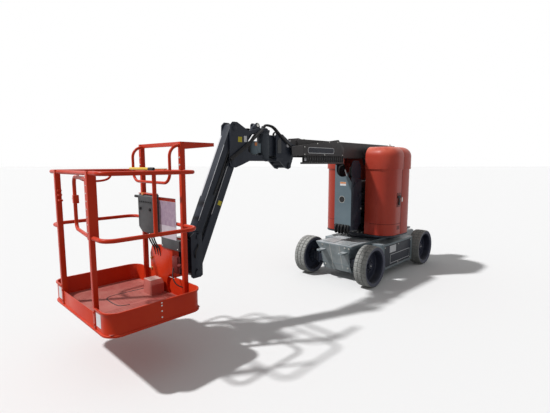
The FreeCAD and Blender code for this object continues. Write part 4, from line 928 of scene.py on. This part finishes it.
# Platform: pressed steel pan with rolled lips, tube rails on folded posts,
# all orange-red enamel, with a painted sunlit tone on what faces up.
# The up-facing tone is a brighter orange-red: painted sunlight on the platform's tops.
platform_enamel = finish_of("platform_enamel", "orange_paint", (0.5, 0.027, 0.007), (0.57, 0.046, 0.013),
                            0.32, gloss=0.12, bump=0.06, dust_and_sunlit_top=(0.66, 0.105, 0.065), dust_and_sunlit_from=0.7,
                            patches=2.2, chips=(0.25, 0.05, 0.04))
yellow_enamel = finish_of("yellow_enamel", "yellow_paint", (0.72, 0.47, 0.04), (0.8, 0.55, 0.07), 0.34,
                          bump=0.05, patches=8.0)
brass = finish_of("brass_fixings", "bright_rod", (0.52, 0.34, 0.14), (0.62, 0.44, 0.2), 0.35, bump=0.1,
                  metallic=0.8, patches=20.0)
refined("platform_bracket", "platform_carrier", platform_enamel, "platform", bevel=0.003)
refined("platform_floor", "platform_pan", platform_enamel, "platform", bevel=0.0015)
refined("platform_rails", "platform_railings", platform_enamel, "platform", bevel=0.002)
refined("gate_bar", "gate_frame", platform_enamel, "gate_bar", bevel=0.002)
refined("control_box", "control_case", case_plastic, "platform", bevel=0.006, segments=3)
refined("console_guard", "guard_frame", platform_enamel, "platform", bevel=0.002)
refined("guard_bar", "guard_push_bar", yellow_enamel, "platform", bevel=0.001)
switch_red = finish_of("switch_red", "orange_paint", (0.43, 0.105, 0.085), (0.54, 0.19, 0.16), 0.45,
                       bump=0.15, patches=7.0)
refined("foot_switch", "foot_switch_cover", switch_red, "platform", bevel=0.004, segments=3)

floor_enamel = finish_of("floor_enamel", "orange_paint", (0.33, 0.06, 0.05), (0.42, 0.1, 0.085), 0.55,
                         bump=0.3, patches=3.0, dust_and_sunlit_top=(0.46, 0.17, 0.14), dust_and_sunlit_from=0.5)
mat = block((3.513, -0.664, 0.4768), (4.25, 0.454, 0.4785), 0.0006)
fitted(mat, "floor_sheet", floor_enamel, "platform")
rib_lines = [-0.64 + 0.03 * k for k in range(36)]
ribs = [block((3.56, y, 0.478), (4.2, y + 0.006, 0.4803), 0.0008) for y in rib_lines if not -0.32 < y < 0.01]
ribs += [block((3.69, y, 0.478), (3.96, y + 0.006, 0.4803), 0.0008) for y in rib_lines[11:21]]
fitted(ribs, "floor_ribs", floor_enamel, "platform")
seam = hose([(3.556, -0.3, 0.479), (3.75, -0.307, 0.479), (3.931, -0.315, 0.479), (3.985, -0.285, 0.479),
             (3.99, -0.16, 0.479), (3.984, -0.05, 0.479), (3.95, -0.006, 0.479), (3.9, -0.002, 0.479)], 0.004)
fitted(seam, "floor_panel_seam", cast_paint, "platform", "dark_paint")
wall_rivets = [(3.867, 0.469, z) for z in (0.612, 0.59, 0.547, 0.499)]
fitted(bolts(wall_rivets, "Y", 0.006, 0.003, sides=12, washer=False), "pan_rivets", zinc, "platform")
post_face = 4.2738
post_bolts = [(post_face, 0.23, 1.17 + 0.055 * k) for k in range(8)]
fitted(bolts(post_bolts, "X", 0.0045, 0.003, sides=12, washer=False), "post_bolts", zinc, "platform")
foot_bolts = [(post_face, y, z) for y in (0.24, -0.45) for z in (0.5, 0.59)]
fitted(bolts(foot_bolts, "X", 0.007, 0.0035), "post_foot_bolts", platform_enamel, "platform")
corner_plates = [block((4.2675, 0.268, 0.5), (4.269, 0.35, 0.6), 0.0004),
                 block((4.2675, -0.56, 0.5), (4.269, -0.478, 0.6), 0.0004)]
fitted(corner_plates, "corner_plates_blank", blank_plate, "platform")
grab = hose([(4.035, -0.664, 1.574), (4.025, -0.664, 1.53), (3.985, -0.664, 1.497), (3.88, -0.664, 1.485),
             (3.775, -0.664, 1.494), (3.73, -0.664, 1.53), (3.72, -0.664, 1.574)], 0.0105)
fitted(grab, "grab_loop", platform_enamel, "platform")

# Control box: grey moulded case on the rear rail, its top covered by a folded
# red plate, with a black hand lever beside it and a small orange label.
lid = block((3.531, -0.395, 1.3715), (3.592, -0.14, 1.38), 0.002)
fitted(lid, "control_lid", platform_enamel, "platform")
lever = lathe([(-0.505, 0.013), (-0.425, 0.013), (-0.418, 0.008), (-0.411, 0.008)], (3.57, 0, 1.34), sides=20)
fitted(lever, "control_lever", black_plastic, "platform")
fitted(block((3.574, -0.342, 1.362), (3.5935, -0.3, 1.3835)), "control_label", label_orange, "platform")
panel_rows = [lathe([(3.5925, 0.007), (3.599, 0.007), (3.601, 0.005)], (0, -0.37 + 0.035 * k, 1.3), axis="X",
                    sides=16) for k in range(7)]
panel_rows += [lathe([(3.5925, 0.014), (3.603, 0.014), (3.606, 0.01)], (0, y, 1.235), axis="X", sides=24)
               for y in (-0.36, -0.18)]
fitted(panel_rows, "control_switches", black_plastic, "platform")
case_ribs = [block((3.5925, -0.4 + 0.262 * k, 1.065), (3.595, -0.392 + 0.262 * k, 1.345), 0.0006)
             for k in (0, 1)]
fitted(case_ribs, "control_case_ribs", case_plastic, "platform")

# Notice board: thin blank sheet with a red header on the rear rail, and the
# grey socket box hung under it.
board_tint = finish_of("board_tint", None, (0.3, 0.215, 0.3), (0.42, 0.33, 0.4), 0.45, bump=0.05,
                       patches=24.0)
board_pale = finish_of("board_pale", None, (0.52, 0.47, 0.53), (0.6, 0.56, 0.61), 0.45, bump=0.05,
                       patches=18.0)
fitted(block((3.532, -0.13, 0.985), (3.536, 0.155, 1.352)), "board_sheet", board_pale, "platform")
fitted(block((3.5358, -0.122, 1.105), (3.5372, 0.147, 1.318), 0.0004), "board_field", board_tint, "platform")
fitted(block((3.5358, -0.128, 1.322), (3.5372, 0.153, 1.35), 0.0004), "board_header", platform_enamel,
       "platform", slot="")
clips = [block((3.526, y, 1.118), (3.535, y + 0.02, 1.15)) for y in (-0.11, 0.115)]
fitted(clips, "board_clips", zinc, "platform")
fitted(block((3.499, -0.1, 0.897), (3.538, 0.195, 0.99), 0.004, 2), "socket_box", case_plastic, "platform")
fitted(bolts([(3.538, y, 0.915) for y in (-0.08, 0.175)], "X", 0.005, 0.003), "socket_box_screws", zinc,
       "platform")

# Pressure bar, foot switch, carrier: the yellow bar's black end, the pale
# tread on the switch cover, two brass bolts and the dark red turner housing.
bar_end = lathe([(-0.058, 0.0138), (0.022, 0.0138), (0.026, 0.011)], (3.6532, 0, 1.605), sides=24)
fitted(bar_end, "guard_bar_end", rubber_hose, "platform")
switch_top = outline_plate([(3.5545, -0.203), (3.6675, -0.203), (3.6675, -0.088), (3.5545, -0.088)], "Z",
                           0.607, 0.609, 0.0006)
switch_pale = finish_of("switch_pale", None, (0.52, 0.36, 0.31), (0.62, 0.47, 0.42), 0.5, bump=0.2,
                        patches=14.0)
fitted(switch_top, "foot_switch_top", switch_pale, "platform")
fitted(bolts([(3.525, -0.318, z) for z in (0.755, 0.655)], "X", 0.011, 0.009), "carrier_bolts", brass,
       "platform")
dark_red = finish_of("dark_red_enamel", "dark_paint", (0.12, 0.014, 0.012), (0.17, 0.024, 0.02), 0.45,
                     bump=0.15, patches=6.0)
housing = [block((3.5, 0.064, 0.69), (3.534, 0.15, 0.84), 0.006, 2),
           lathe([(0.15, 0.017), (0.182, 0.017), (0.188, 0.013)], (3.517, 0, 0.765), sides=28)]
fitted(housing, "turner_housing", dark_red, "platform")
lanyard = hose([(3.527, 0.075, 0.74), (3.56, 0.11, 0.7), (3.575, 0.15, 0.64), (3.56, 0.2, 0.6),
                (3.53, 0.23, 0.59)], 0.005)
fitted(lanyard, "platform_cable", rubber_hose, "platform")
box_cables = [hose([(3.56, y, 1.002), (3.558, y + 0.01, 0.955), (3.54, y + 0.03, 0.9),
                    (3.525, y + 0.05, 0.86), (3.52, y + 0.06, 0.8)], 0.007) for y in (-0.3, -0.25, -0.205)]
fitted(box_cables, "control_cables", rubber_hose, "platform")
guard_bolts = [(3.536, y, z) for y in (0.24, -0.45) for z in (1.64, 1.7)]
fitted(bolts(guard_bolts, "X", 0.006, 0.004), "guard_bolts", zinc, "platform")
